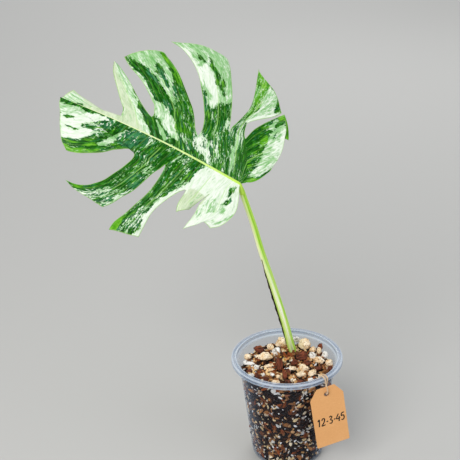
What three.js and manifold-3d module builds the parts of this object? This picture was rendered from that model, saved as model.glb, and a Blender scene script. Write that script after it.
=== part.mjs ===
// A rooted one-leaf cutting of a white-variegated monstera in a clear plastic pot of bark mix,
// with a card tag tied over the rim. Millimetres, +Z up, origin at the centre of the pot's underside.
import * as THREE from 'three';
import { mergeVertices } from 'three/addons/utils/BufferGeometryUtils.js';
import Module from 'manifold-3d';

const wasm = await Module();
wasm.setup();

// Driving dimensions
const pot = {
  height: 110, rimRadius: 55, throatRadius: 50, baseRadius: 36, neckRadius: 47.7, neckHeight: 103.5,
  wall: 1, cornerRadius: 3, cornerLean: 0.4, stepHeight: 92, stepRise: 1.5, stepDepth: 0.7,
  shoulderRise: 2, throatEase: 0.4, innerRise: 0.2, skirtDrop: 4.5, crownDrop: 0.4, lipDrop: 1.2, lipRound: 1.4, bevel: 0.6,
  drainHoles: 6, drainRadius: 2.5, drainRing: 22, segments: 48,
};
const mix = {
  edgeHeight: 95, mound: 2.5, rearRise: 0.06, gap: 0.3, stemEase: 0.5, rootEase: 0.8, rings: 5,
  topRise: 2, footRise: 1,
};
const blade = {
  junction: [-41.5, -15, 299], heading: 168, rise: 26, tilt: 44, thickness: 0.8,
  midribBow: 3.2, fold: 0.16, foldWidth: 3, sideDroop: 0.002, tipDroop: 0.0003, camber: 3,
  webRows: 2, lobeRows: 7,
};
const petiole = { baseRadius: 3.9, topRadius: 2.5, sides: 12, steps: 26 };
const stem = { radius: 7, sides: 12, steps: 10 };
const root = { startRadius: 2.2, tipRadius: 1.2, sides: 8, steps: 12 };
const sheath = {
  width: 1.6, thickness: 0.6, gap: 0.4, sideways: 1.22, forward: 0.6, steps: 16,
  shares: [0.2, 0.27, 0.34, 0.41, 0.48, 0.55], freeTip: [-0.6, -1, 5],
};
const tag = {
  width: 34, height: 68, topWidth: 18, shoulder: 11, thickness: 0.8, holeDrop: 8, holeRadius: 2.2,
  hole: [34.4, -45.5, 93.8], turn: 16, swing: 8,
};
const twine = { radius: 0.7, sides: 8, steps: 60 };
const stone = { unevenness: 0.2 };
const flake = { corners: 7, leastReach: 0.78 };

const degrees = THREE.MathUtils.degToRad;
const plant = new THREE.Group();

// Shared helpers

function finish(colour, roughness, options = {}) {
  return new THREE.MeshStandardMaterial({ color: colour, roughness, metalness: 0, ...options });
}

function addPart(name, geometry, material, position = [0, 0, 0], turn = [0, 0, 0]) {
  const mesh = new THREE.Mesh(geometry, material);
  mesh.name = name;
  mesh.position.set(...position);
  mesh.rotation.set(...turn);
  plant.add(mesh);
}

function geometryFrom(points, faces) {
  const geometry = new THREE.BufferGeometry();
  geometry.setAttribute('position', new THREE.Float32BufferAttribute(points.flat(), 3));
  geometry.setIndex(faces.flat());
  return geometry;
}

// A solid of the same shape, from positions alone, without the flat slivers of a closed-up corner
function solidFrom(geometry) {
  const bare = geometry.clone();
  bare.deleteAttribute('normal');
  bare.deleteAttribute('uv');
  const merged = mergeVertices(bare, 1e-4);
  const index = [];
  for (let i = 0; i < merged.index.count; i += 3) {
    const [a, b, c] = [0, 1, 2].map((k) => merged.index.getX(i + k));
    if (a !== b && b !== c && c !== a) index.push(a, b, c);
  }
  return new wasm.Manifold(new wasm.Mesh({
    numProp: 3,
    vertProperties: new Float32Array(merged.getAttribute('position').array),
    triVerts: new Uint32Array(index),
  }));
}

function geometryOf(solid) {
  const mesh = solid.getMesh();
  const geometry = new THREE.BufferGeometry();
  geometry.setAttribute('position', new THREE.Float32BufferAttribute(mesh.vertProperties, 3));
  geometry.setIndex([...mesh.triVerts]);
  return geometry;
}

function curveThrough(points) {
  const corners = points.map((point) => new THREE.Vector3(...point));
  return new THREE.CatmullRomCurve3(corners, false, 'centripetal');
}

// The same curve reaching a little further at both ends
function longer(curve, reach = 0.8) {
  const points = curve.points.map((point) => point.clone());
  points[0].addScaledVector(curve.getTangent(0), -reach);
  points[points.length - 1].addScaledVector(curve.getTangent(1), reach);
  return new THREE.CatmullRomCurve3(points, false, 'centripetal');
}

// A closed round bar along a curve, its radius a function of the way along from 0 to 1
function sweep(curve, radiusAt, sides, steps) {
  const frames = curve.computeFrenetFrames(steps, false);
  const points = [];
  for (let i = 0; i <= steps; i += 1) {
    const centre = curve.getPointAt(i / steps);
    for (let j = 0; j < sides; j += 1) {
      const angle = (2 * Math.PI * j) / sides;
      const spoke = frames.normals[i].clone().multiplyScalar(Math.cos(angle));
      spoke.addScaledVector(frames.binormals[i], Math.sin(angle));
      points.push(centre.clone().addScaledVector(spoke, radiusAt(i / steps)).toArray());
    }
  }
  const faces = [];
  for (let i = 0; i < steps; i += 1) {
    for (let j = 0; j < sides; j += 1) {
      const a = i * sides + j;
      const b = i * sides + ((j + 1) % sides);
      faces.push([a, b, b + sides], [a, b + sides, a + sides]);
    }
  }
  const start = points.push(curve.getPointAt(0).toArray()) - 1;
  const end = points.push(curve.getPointAt(1).toArray()) - 1;
  for (let j = 0; j < sides; j += 1) {
    const next = (j + 1) % sides;
    faces.push([start, next, j], [end, steps * sides + j, steps * sides + next]);
  }
  return geometryFrom(points, faces);
}

// A body turned about the pot's axis, from an outline of radius against height
function turned(outline, curveSteps) {
  const geometry = new THREE.LatheGeometry(outline.getPoints(curveSteps), pot.segments);
  return geometry.rotateX(Math.PI / 2);
}

// Repeatable numbers between 0 and 1
function dice(seed) {
  let state = (seed * 2654435761) % 4294967296;
  return () => {
    state = (state * 1664525 + 1013904223) % 4294967296;
    return state / 4294967296;
  };
}

// Pot: a tapered clear cup with a stacking step, a shoulder and a folded-over rim

const innerBase = pot.baseRadius + pot.cornerLean - pot.wall;
const innerNeck = pot.neckRadius - pot.wall;
const stepRadius = pot.baseRadius + (pot.neckRadius - pot.baseRadius) * (pot.stepHeight / pot.neckHeight);
const lowerStep = stepRadius - pot.stepDepth / 2;
const upperStep = stepRadius + pot.stepDepth / 2;

function potGeometry() {
  const { height, rimRadius, throatRadius, baseRadius, neckRadius, neckHeight } = pot;
  const { wall, cornerRadius, stepHeight, stepRise, bevel } = pot;
  const skirtFoot = height - pot.skirtDrop;
  const shoulderHeight = neckHeight + pot.shoulderRise;
  const innerStep = stepHeight + pot.innerRise;
  const outline = new THREE.Path();
  outline.moveTo(0, 0);
  outline.lineTo(baseRadius - cornerRadius, 0);
  outline.quadraticCurveTo(baseRadius, 0, baseRadius + pot.cornerLean, cornerRadius);
  outline.lineTo(lowerStep, stepHeight);
  outline.lineTo(upperStep, stepHeight + stepRise);
  outline.lineTo(neckRadius, neckHeight);
  outline.lineTo(throatRadius + wall, shoulderHeight);
  outline.lineTo(throatRadius + wall, height - wall);
  outline.lineTo(rimRadius - wall, height - wall - pot.crownDrop);
  outline.lineTo(rimRadius - wall, skirtFoot);
  outline.lineTo(rimRadius, skirtFoot);
  outline.lineTo(rimRadius, height - pot.lipDrop);
  outline.quadraticCurveTo(rimRadius, height, rimRadius - pot.lipRound, height);
  outline.lineTo(throatRadius + bevel, height);
  outline.lineTo(throatRadius, height - bevel);
  outline.lineTo(throatRadius, shoulderHeight + pot.throatEase);
  outline.lineTo(innerNeck, neckHeight + bevel);
  outline.lineTo(upperStep - wall, innerStep + stepRise);
  outline.lineTo(lowerStep - wall, innerStep);
  outline.lineTo(innerBase, cornerRadius);
  outline.quadraticCurveTo(baseRadius - wall, wall, baseRadius - cornerRadius, wall);
  outline.lineTo(0, wall);
  let solid = solidFrom(turned(outline, 3));
  const drill = new THREE.CylinderGeometry(pot.drainRadius, pot.drainRadius, 4 * wall, 14);
  drill.rotateX(Math.PI / 2);
  for (let i = 0; i < pot.drainHoles; i += 1) {
    const angle = (2 * Math.PI * (i + 0.5)) / pot.drainHoles;
    const [x, y] = [pot.drainRing * Math.cos(angle), pot.drainRing * Math.sin(angle)];
    solid = solid.subtract(solidFrom(drill.clone().translate(x, y, 0)));
  }
  return geometryOf(solid);
}

// Stem cutting, petiole and roots: the stem lies just under the mix, the petiole rises from it

const stemCurve = curveThrough([[-9, 31, 79], [-2, 29, 80.5], [8.5, 25.5, 81], [19, 20, 80.5], [27, 14, 79]]);
const petioleFoot = [9.2, 26.3, 89];
const petioleCurve = curveThrough([
  petioleFoot, [8.6, 26, 95], [4.7, 22.5, 112.7], [0.2, 18, 134.6], [-8.7, 10.5, 171], [-16.4, 4, 200.6],
  [-22.6, -1, 223.3], [-30.2, -7.5, 255.4], [-37.9, -11.4, 283], [-41.2, -12.4, 293.5], [-44.6, -12, 298.1],
  [-49.1, -10.8, 300.7],
]);
const rootCurves = [
  [[-5, 29.6, 72.4], [-9, 30, 62], [-20, 25, 46], [-27, 8, 34], [-22, -12, 26], [-8, -22, 22]],
  [[3, 27.4, 73.2], [2, 24, 58], [8, 12, 42], [4, -6, 30], [-8, -8, 18], [-18, 2, 12]],
  [[13, 23.2, 73], [16, 22, 60], [26, 14, 48], [33, -4, 38], [26, -20, 28], [10, -27, 20]],
  [[22, 17.6, 72.7], [25, 14, 66], [30, -2, 62], [24, -20, 58], [6, -30, 52], [-14, -28, 46]],
].map(curveThrough);

const petioleRadius = (along) => THREE.MathUtils.lerp(petiole.baseRadius, petiole.topRadius, along ** 0.8);
const stemRadius = (along) => stem.radius * Math.sqrt(Math.max(0.2, 1 - Math.abs(2 * along - 1) ** 5));
const rootRadius = (along) => THREE.MathUtils.lerp(root.startRadius, root.tipRadius, along);
const grown = (radiusAt, gap) => (along) => radiusAt(along) + gap;

// Potting mix: fills the pot to below the rim, with a hollow just larger than what is rooted in it

const mixMound = (radius) => mix.edgeHeight + mix.mound * (1 - (radius / innerNeck) ** 2);
const mixRise = (y) => mix.rearRise * Math.max(0, y);
const mixSurface = (x, y) => mixMound(Math.hypot(x, y)) + mixRise(y);

function mixGeometry() {
  const floor = pot.wall + mix.gap;
  const rimRadius = upperStep - pot.wall - mix.gap;
  const outline = new THREE.Path();
  outline.moveTo(0, floor);
  outline.lineTo(innerBase - pot.cornerRadius, floor);
  outline.lineTo(innerBase - mix.gap, pot.cornerRadius + mix.footRise);
  outline.lineTo(lowerStep - pot.wall - mix.gap, pot.stepHeight);
  outline.lineTo(rimRadius, pot.stepHeight + mix.topRise);
  for (let i = 0; i < mix.rings; i += 1) {
    const radius = rimRadius * (1 - i / mix.rings);
    outline.lineTo(radius, mixMound(radius));
  }
  outline.lineTo(0, mixMound(0));
  const heap = turned(outline, 1);
  const points = heap.getAttribute('position');
  for (let i = 0; i < points.count; i += 1) {
    if (points.getZ(i) > mix.edgeHeight) points.setZ(i, points.getZ(i) + mixRise(points.getY(i)));
  }
  const stemHollow = sweep(longer(stemCurve), grown(stemRadius, mix.stemEase), stem.sides, stem.steps);
  const channel = curveThrough([[9.2, 26.4, 84], petioleFoot, [8.6, 26, 95], [6.6, 24.3, 104]]);
  const petioleHollow = sweep(channel, () => petiole.baseRadius + mix.stemEase, petiole.sides, 4);
  let hollow = solidFrom(stemHollow).add(solidFrom(petioleHollow));
  for (const curve of rootCurves) {
    const start = curve.getPoint(0);
    const inStem = [start.x, start.y, start.z + 3];
    const tunnel = longer(curveThrough([inStem, ...curve.points.map((p) => p.toArray())]));
    const rootHollow = sweep(tunnel, grown(rootRadius, mix.rootEase), root.sides, root.steps + 4);
    hollow = hollow.add(solidFrom(rootHollow));
  }
  return geometryOf(solidFrom(heap).subtract(hollow));
}

// Leaf blade: lobes in the blade's own frame, s along the midrib from the petiole and t across it.
// Each lobe starts between two feet on the midrib. near is its edge on the petiole's side, far the
// one on the tip's side, and both start at the bottom of the cut beside them, where there is one.

const cuts = {
  upperFirst: [14, 40], upperSecond: [29, 39], upperThird: [53, 23], upperFourth: [98, 20],
  upperTip: [123, 9], lowerFirst: [20, -22], lowerSecond: [40, -28.5], lowerThird: [67, -15],
  lowerTip: [97, -18],
};
const leafTip = [180, 1.5];
const lobes = [
  {
    feet: [0, 2], far: [cuts.upperFirst, [11, 52], [8, 59], [3, 67], [-8, 84]],
    near: [[-5, 4], [-9, 6], [-14, 12], [-19, 24]],
    end: [[-19, 24], [-21, 36], [-21, 48], [-19, 60], [-14.5, 69], [-8, 84]],
  },
  {
    feet: [2, 13], near: [cuts.upperFirst, [17, 45], [19, 53], [16, 60], [9, 67], [3, 72], [-5, 84]],
    far: [cuts.upperSecond, [30, 44], [28, 50], [25, 60], [23, 70], [24, 82], [29, 104], [33, 119]],
    end: [[-5, 84], [5, 96], [14, 104], [23, 110], [30, 115], [33, 119]],
  },
  {
    feet: [13, 42], near: [cuts.upperSecond, [35, 56], [41, 71], [45, 81], [51, 93], [64, 114]],
    far: [cuts.upperThird, [53, 34], [59, 48], [65, 59], [72, 70], [86, 87], [101, 99], [118, 103]],
    end: [[64, 114], [78, 115], [88, 114], [97, 111], [106, 107], [118, 103]],
  },
  {
    feet: [42, 86], near: [cuts.upperThird, [62, 35], [75, 51], [90, 67], [109, 83], [116, 87]],
    far: [cuts.upperFourth, [99, 27], [105, 35], [118, 46], [134, 55], [148, 65]],
    end: [[116, 87], [127, 84], [139, 75], [148, 65]],
  },
  {
    feet: [86, 122], near: [cuts.upperFourth, [111, 27], [128, 40], [147, 54], [153, 57]],
    far: [cuts.upperTip, [127, 19], [137, 30], [150, 46], [154.5, 55]],
    end: [[153, 57], [154.5, 57], [154.5, 55]],
  },
  {
    feet: [122, 180], near: [cuts.upperTip], far: [leafTip],
    end: [cuts.upperTip, [135, 7], [148, 8], [165, 11], [173, 14], [178, 4], leafTip],
  },
  {
    feet: [0, 14], near: [[-1, -4], [-4, -11], [-8, -24], [-6, -36], [6, -50]],
    far: [cuts.lowerFirst, [23.5, -34], [24, -46], [27, -62]],
    end: [[6, -50], [14, -48], [19, -55], [27, -62]],
  },
  {
    feet: [14, 35], near: [cuts.lowerFirst, [26, -34], [30, -43]],
    far: [cuts.lowerSecond, [40.5, -37], [39, -50]],
    end: [[30, -43], [34, -46], [39, -50]],
  },
  {
    feet: [35, 61], near: [cuts.lowerSecond, [47, -37], [56, -55], [58, -71], [58, -85]],
    far: [cuts.lowerThird, [66.5, -27], [69, -49], [78, -72], [84, -83], [84, -90]],
    end: [[58, -85], [68, -88], [77, -89], [84, -90]],
  },
  {
    feet: [61, 91], near: [cuts.lowerThird, [74, -31], [81, -52], [98, -75]],
    far: [cuts.lowerTip, [96, -28], [103, -43], [115, -60], [129, -67], [138, -67]],
    end: [[98, -75], [111, -74], [121, -73], [138, -67]],
  },
  {
    feet: [91, 180], near: [cuts.lowerTip], far: [leafTip],
    end: [
      cuts.lowerTip, [101, -16], [109, -21], [123, -32], [139, -40], [151, -42], [158, -37], [167, -24],
      [174, -10], leafTip,
    ],
  },
];
// Places along the midrib where the veins of both halves start, every foot among them
const stations = [
  0, 0.4, 0.8, 1.2, 1.6, 2, 5, 8, 11, 13, 14, 20, 26, 31, 35, 38.5, 42, 47, 52, 57, 61, 66, 71, 76, 81,
  86, 91, 97, 103, 109, 116, 122, 129, 136, 143, 150, 157, 164, 170, 175, 180,
];

const midrib = (s) => {
  const along = s / leafTip[0];
  return [s, blade.midribBow * Math.sin(Math.PI * along) + leafTip[1] * along];
};

// The point a share of the way along a line of points, by length
function alongLine(points, share) {
  const steps = points.slice(1).map((p, i) => Math.hypot(p[0] - points[i][0], p[1] - points[i][1]));
  const total = steps.reduce((sum, step) => sum + step, 0);
  let left = share * total;
  for (let i = 0; i < steps.length; i += 1) {
    if (left <= steps[i] || i === steps.length - 1) {
      const part = steps[i] > 0 ? Math.min(left / steps[i], 1) : 0;
      return points[i].map((value, k) => value + (points[i + 1][k] - value) * part);
    }
    left -= steps[i];
  }
  return points[0];
}

// One side of a lobe from the midrib outwards: the web up to the cut, then the free edge
function sideLine(foot, edge) {
  const { webRows, lobeRows } = blade;
  const start = midrib(foot);
  const rows = [];
  for (let i = 0; i < webRows; i += 1) rows.push(alongLine([start, edge[0]], i / webRows));
  const free = edge.length > 1 ? edge : [edge[0], edge[0]];
  for (let i = 0; i <= lobeRows; i += 1) rows.push(alongLine(free, i / lobeRows));
  return rows;
}

// How far the blade stands out of its plane: raised sides, drooping tip and rounded lobes
const bladeLift = (s, t, edgeShare, outShare) => {
  const rise = blade.fold * (Math.hypot(t, blade.foldWidth) - blade.foldWidth);
  const droop = blade.sideDroop * t * t + blade.tipDroop * s * s * (s < 0 ? 2 : 1);
  return rise - droop - blade.camber * edgeShare ** 2 * outShare ** 2;
};

function bladeFrame() {
  const [heading, rise, tilt] = [blade.heading, blade.rise, blade.tilt].map(degrees);
  const along = new THREE.Vector3(
    Math.cos(rise) * Math.cos(heading), Math.cos(rise) * Math.sin(heading), Math.sin(rise),
  );
  const level = new THREE.Vector3(Math.sin(heading), -Math.cos(heading), 0);
  const upright = level.clone().cross(along);
  const across = level.clone().multiplyScalar(Math.cos(tilt)).addScaledVector(upright, Math.sin(tilt));
  return { along, across, normal: across.clone().cross(along) };
}

function bladeGeometry() {
  const { along, across, normal } = bladeFrame();
  const flat = [];
  const lift = [];
  const seen = new Map();
  const corner = ([s, t], edgeShare, outShare) => {
    const key = `${Math.round(s * 100)} ${Math.round(t * 100)}`;
    if (!seen.has(key)) {
      seen.set(key, flat.push([s, t]) - 1);
      lift.push(bladeLift(s, t, edgeShare, outShare));
    }
    return seen.get(key);
  };
  const faces = [];
  for (const lobe of lobes) {
    const feet = stations.filter((s) => s >= lobe.feet[0] && s <= lobe.feet[1]);
    const columns = feet.length - 1;
    const near = sideLine(lobe.feet[0], lobe.near);
    const far = sideLine(lobe.feet[1], lobe.far);
    const rows = near.length - 1;
    const mesh = [];
    for (let i = 0; i <= rows; i += 1) {
      const v = i / rows;
      const out = Math.max(0, (i - blade.webRows) / blade.lobeRows);
      mesh.push(feet.map((s, j) => {
        const u = j / columns;
        const base = midrib(s);
        const tip = alongLine(lobe.end, u);
        const point = [0, 1].map((k) => (1 - v) * base[k] + v * tip[k]
          + (1 - u) * near[i][k] + u * far[i][k]
          - (1 - u) * (1 - v) * near[0][k] - u * (1 - v) * far[0][k]
          - (1 - u) * v * near[rows][k] - u * v * far[rows][k]);
        return corner(point, 2 * u - 1, out);
      }));
    }
    const side = lobe.end[1][1] > 0 ? 1 : -1;
    for (let i = 0; i < rows; i += 1) {
      for (let j = 0; j < columns; j += 1) {
        const [a, b, c, d] = [mesh[i][j], mesh[i][j + 1], mesh[i + 1][j + 1], mesh[i + 1][j]];
        const pair = side > 0 ? [[a, c, b], [a, d, c]] : [[a, b, c], [a, c, d]];
        faces.push(...pair.filter((f) => new Set(f).size === 3));
      }
    }
  }
  const half = blade.thickness / 2;
  const place = (offset) => flat.map(([s, t], i) => {
    const point = new THREE.Vector3(...blade.junction).addScaledVector(along, s).addScaledVector(across, t);
    return point.addScaledVector(normal, lift[i] + offset).toArray();
  });
  const count = flat.length;
  const directed = new Set(faces.flatMap(([a, b, c]) => [`${a} ${b}`, `${b} ${c}`, `${c} ${a}`]));
  const walls = [];
  for (const key of directed) {
    const [a, b] = key.split(' ').map(Number);
    if (!directed.has(`${b} ${a}`)) walls.push([a, a + count, b + count], [a, b + count, b]);
  }
  const under = faces.map(([a, b, c]) => [a + count, c + count, b + count]);
  return geometryFrom([...place(half), ...place(-half)], [...faces, ...under, ...walls]);
}

// Dry sheath: the papery brown edge left along the petiole's lower half, its tip curling free

function sheathGeometry() {
  const line = sheath.shares.map((share) => {
    const centre = petioleCurve.getPointAt(share);
    const reach = petioleRadius(share) + sheath.gap + sheath.width / 2;
    return [centre.x - sheath.sideways * reach, centre.y - sheath.forward, centre.z];
  });
  line.push(line[line.length - 1].map((value, k) => value + sheath.freeTip[k]));
  const [w, t] = [sheath.width / 2, sheath.thickness / 2];
  const section = new THREE.Shape([[-t, -w], [t, -w], [t, w], [-t, w]].map((p) => new THREE.Vector2(...p)));
  const options = { steps: sheath.steps, bevelEnabled: false, extrudePath: curveThrough(line) };
  return new THREE.ExtrudeGeometry(section, options);
}

// Card tag: clipped shoulders and a punched hole, hung from the twine outside the rim

function tagGeometry() {
  const { width, height, topWidth, shoulder, thickness, holeDrop, holeRadius } = tag;
  const top = holeDrop;
  const foot = top - height;
  const card = new THREE.Shape();
  card.moveTo(-topWidth / 2, top);
  card.lineTo(-width / 2, top - shoulder);
  card.lineTo(-width / 2, foot);
  card.lineTo(width / 2, foot);
  card.lineTo(width / 2, top - shoulder);
  card.lineTo(topWidth / 2, top);
  const punched = new THREE.Path();
  punched.absarc(0, 0, holeRadius, 0, 2 * Math.PI, true);
  card.holes.push(punched);
  const options = { depth: thickness, bevelEnabled: false, curveSegments: 18 };
  const geometry = new THREE.ExtrudeGeometry(card, options);
  geometry.translate(0, 0, -thickness / 2);
  geometry.rotateZ(degrees(tag.swing));
  geometry.rotateX(Math.PI / 2);
  return geometry.rotateZ(degrees(tag.turn));
}

// Twine: one length, from the mix over the rim, through the tag's hole and back over the rim
const twineRoute = [
  [26.4, -27.2, 101], [27.8, -30.6, 101.4], [28.1, -33.1, 102.6], [28.2, -35.6, 104.6],
  [28.8, -38.2, 107], [28.9, -38.9, 108.8], [29.2, -39.8, 110.6], [30.2, -41.4, 111.5],
  [31.4, -43.1, 111.5], [32.8, -44.8, 110.5], [33.3, -45.4, 108.2], [34.1, -46.2, 104],
  [35.1, -47.9, 99.8], [35.2, -48.2, 97], [35, -47.4, 95], [34.4, -45.5, 94.2], [33.9, -43.6, 95],
  [33.6, -42.8, 97], [33.9, -43.1, 100.2], [35, -44.1, 104.4], [35.4, -43.8, 108.2], [35.1, -43, 110.5],
  [33.8, -41.2, 111.5], [32.8, -39.5, 111.5], [31.8, -37.8, 110.6], [31.4, -36.9, 108.8],
  [31.4, -36.1, 107], [30.4, -33.7, 104.6], [29.5, -31.2, 102.6], [29.6, -28.6, 101],
];

function twineGeometry() {
  const corners = [];
  for (let i = 0; i < twine.sides; i += 1) {
    const angle = (2 * Math.PI * i) / twine.sides;
    corners.push(new THREE.Vector2(twine.radius * Math.cos(angle), twine.radius * Math.sin(angle)));
  }
  const options = { steps: twine.steps, bevelEnabled: false, extrudePath: curveThrough(twineRoute) };
  return new THREE.ExtrudeGeometry(new THREE.Shape(corners), options);
}

// Stones and bark on the mix: length, width and height, where each lies, its turn, and how far
// it is raised by what lies under it

const stones = {
  pumice_01: { size: [15.5, 10.5, 9], at: [-20.7, 10.9], turn: 12, lift: 0 },
  pumice_02: { size: [13.6, 11.6, 11.5], at: [20.4, 30], turn: 20, lift: 0 },
  pumice_03: { size: [12, 8, 7.5], at: [32.5, 3.9], turn: -18, lift: 0 },
  pumice_04: { size: [11.5, 9.5, 10.5], at: [-3.8, 35.5], turn: 4, lift: 0 },
  pumice_05: { size: [7.5, 7.2, 6.6], at: [-14.7, 30.7], turn: 0, lift: 0 },
  pumice_06: { size: [10.5, 8, 7], at: [16.5, -9.1], turn: 15, lift: 0 },
  pumice_07: { size: [8.6, 8.2, 6.6], at: [23.6, -17.8], turn: 40, lift: 0 },
  pumice_08: { size: [10.5, 5.6, 5], at: [12, -20.4], turn: 8, lift: 0 },
  pumice_09: { size: [8, 7.6, 6.5], at: [-38.6, 14.7], turn: 30, lift: 0 },
  pumice_10: { size: [7.6, 7, 7.5], at: [27.8, 22.6], turn: 60, lift: 0 },
  pumice_11: { size: [7.4, 6.8, 7], at: [42.2, 1.0], turn: 10, lift: 0 },
  pumice_12: { size: [8.6, 5.6, 5], at: [-13, -30.5], turn: -14, lift: 0 },
  pumice_13: { size: [8, 5, 5], at: [5.7, -9.5], turn: 25, lift: 0 },
  pumice_14: { size: [13, 4, 3.6], at: [-17.4, -0.6], turn: 14, lift: 0 },
  pumice_15: { size: [7.2, 4, 3.6], at: [-16.2, -8.3], turn: 8, lift: 0 },
  pumice_16: { size: [5, 5, 8], at: [34.2, 20.6], turn: 0, lift: 0 },
  pumice_17: { size: [5, 4.4, 6], at: [-10, -23.4], turn: 0, lift: 0 },
  perlite_01: { size: [13, 5, 4.6], at: [-37.4, 5.4], turn: -20, lift: 0 },
  perlite_02: { size: [8.8, 6, 6.6], at: [13.4, 40.8], turn: -18, lift: 2 },
  perlite_03: { size: [8.6, 6.6, 7.4], at: [39.6, 14.2], turn: 74, lift: 0 },
  perlite_04: { size: [9.2, 7.2, 7], at: [-9.6, 22.4], turn: 18, lift: 0 },
  perlite_05: { size: [7, 6, 6.4], at: [26.9, 12.6], turn: 0, lift: 0 },
  perlite_06: { size: [8, 5.4, 4.8], at: [21.5, -28.6], turn: 30, lift: 0 },
  perlite_07: { size: [6.4, 5.2, 4.8], at: [-36.2, -16.4], turn: 0, lift: 0 },
  perlite_08: { size: [6.2, 5.4, 6], at: [-30.4, -4.2], turn: 50, lift: 0 },
  perlite_09: { size: [4.4, 4.2, 4.6], at: [-15.4, -18.6], turn: 0, lift: 0 },
  bark_01: { size: [13, 9.5, 3.4], at: [16, 8.8], turn: 14, tip: 42, lift: 3 },
  bark_02: { size: [13, 9, 4], at: [-27, 26], turn: -12, tip: 32, lift: 2.2 },
  bark_03: { size: [9, 14.5, 2.6], at: [-7.8, -6.6], turn: 8, tip: 55, lift: 5.6 },
  bark_04: { size: [8.6, 4.2, 2.8], at: [41.8, -8.8], turn: 62, tip: 30, lift: 1.4 },
  bark_05: { size: [6.5, 5, 2.6], at: [0.2, -14.4], turn: 30, tip: 20, lift: 1 },
  bark_06: { size: [6, 9, 2.6], at: [-3.4, -21.4], turn: 10, tip: 40, lift: 2.6 },
  bark_07: { size: [7.5, 6, 2.4], at: [-0.6, -31], turn: 10, tip: 14, lift: 0.8 },
  bark_08: { size: [9, 4.5, 2.6], at: [-25.4, -10], turn: 12, tip: 8, lift: 0.4 },
  bark_09: { size: [8, 6, 2.4], at: [-22.4, -22.8], turn: 30, tip: 16, lift: 0.9 },
  bark_10: { size: [8, 6, 2.6], at: [-37.8, -8], turn: 40, tip: 12, lift: 0.8 },
  bark_11: { size: [5, 8.5, 2.4], at: [35.6, 26], turn: -52, tip: 70, lift: 4.6 },
  bark_12: { size: [8, 6.4, 2.4], at: [30.4, -8], turn: 20, tip: 10, lift: 0.6 },
  bark_13: { size: [8.4, 7, 3.4], at: [29.2, -27.2], turn: 20, lift: 0.3 },
  bark_14: { size: [8.5, 6.5, 2.6], at: [7.6, 1], turn: -10, tip: 28, lift: 1.7 },
  bark_15: { size: [8.5, 6.5, 2.6], at: [20.6, -0.6], turn: 10, tip: 28, lift: 1.7 },
  bark_16: { size: [9, 6, 2.6], at: [10.6, -31], turn: -6, tip: 10, lift: 0.6 },
  bark_17: { size: [5.5, 8, 2.4], at: [-30, -19.2], turn: 14, tip: 40, lift: 2.3 },
};
const grains = [[-5.4, 12.6], [-1.6, 9.8], [-5.2, 6.8], [-1.2, 15.6]];
const grainRadius = 1.3;

// A worn stone: a ball with its corners pushed in, then stretched to its full size
function stoneGeometry(seed, [length, width, height]) {
  const roll = dice(seed);
  const ball = new THREE.IcosahedronGeometry(0.5, 1);
  ball.deleteAttribute('normal');
  ball.deleteAttribute('uv');
  const geometry = mergeVertices(ball, 1e-4);
  const points = geometry.getAttribute('position');
  for (let i = 0; i < points.count; i += 1) {
    const push = 1 - stone.unevenness * roll();
    points.setXYZ(i, points.getX(i) * push, points.getY(i) * push, points.getZ(i) * push);
  }
  geometry.computeBoundingBox();
  const reach = geometry.boundingBox.getSize(new THREE.Vector3());
  return geometry.center().scale(length / reach.x, width / reach.y, height / reach.z);
}

// A flake of bark: an uneven many-sided plate
function barkGeometry(seed, [length, width, height]) {
  const roll = dice(seed);
  const outline = [];
  for (let i = 0; i < flake.corners; i += 1) {
    const angle = (2 * Math.PI * (i + 0.5 * roll())) / flake.corners;
    const reach = 0.5 * THREE.MathUtils.lerp(flake.leastReach, 1, roll());
    outline.push(new THREE.Vector2(length * reach * Math.cos(angle), width * reach * Math.sin(angle)));
  }
  const plate = new THREE.ExtrudeGeometry(new THREE.Shape(outline), { depth: height, bevelEnabled: false });
  return plate.translate(0, 0, -height / 2);
}

const looseFinishes = {
  pumice: finish('#d9bd92', 0.95), perlite: finish('#eeeae2', 0.95), bark: finish('#6b3a20', 0.9),
};

function addStones() {
  Object.entries(stones).forEach(([name, { size, at, turn, tip = 0, lift }], i) => {
    const kind = name.split('_')[0];
    const geometry = kind === 'bark' ? barkGeometry(i + 1, size) : stoneGeometry(i + 1, size);
    geometry.rotateX(degrees(tip));
    const height = mixSurface(...at) + mix.gap + size[2] / 2 + lift;
    addPart(name, geometry, looseFinishes[kind], [...at, height], [0, 0, degrees(turn)]);
  });
}

function addGrains() {
  grains.forEach((at, i) => {
    const ball = new THREE.IcosahedronGeometry(grainRadius, 1);
    const height = mixSurface(...at) + mix.gap + grainRadius;
    addPart(`feed_grain_${i + 1}`, ball, finish('#d9a83a', 0.5), [...at, height]);
  });
}

addPart('pot', potGeometry(), finish('#b9c6d2', 0.2, { transparent: true, opacity: 0.4 }));
addPart('potting_mix', mixGeometry(), finish('#2c2320', 0.95));
addPart('stem_cutting', sweep(stemCurve, stemRadius, stem.sides, stem.steps), finish('#7b8a4a', 0.7));
rootCurves.forEach((curve, i) => {
  addPart(`root_${i + 1}`, sweep(curve, rootRadius, root.sides, root.steps), finish('#c8b492', 0.8));
});
addPart('petiole', sweep(petioleCurve, petioleRadius, petiole.sides, petiole.steps), finish('#9ac43f', 0.45));
addPart('leaf_blade', bladeGeometry(), finish('#3f8f3c', 0.4));
addPart('dry_sheath', sheathGeometry(), finish('#6d5238', 0.9));
addPart('tag', tagGeometry(), finish('#dfa76f', 0.9), tag.hole);
addPart('tag_twine', twineGeometry(), finish('#cfa67c', 0.95));
addStones();
addGrains();

export default plant;
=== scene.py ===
# A rooted cutting of a white-marbled monstera in a clear nursery pot, with a card tag on twine.
# Everything is built in millimetres, in the CAD frame, and turned to metres when a piece is added.
import math

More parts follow.
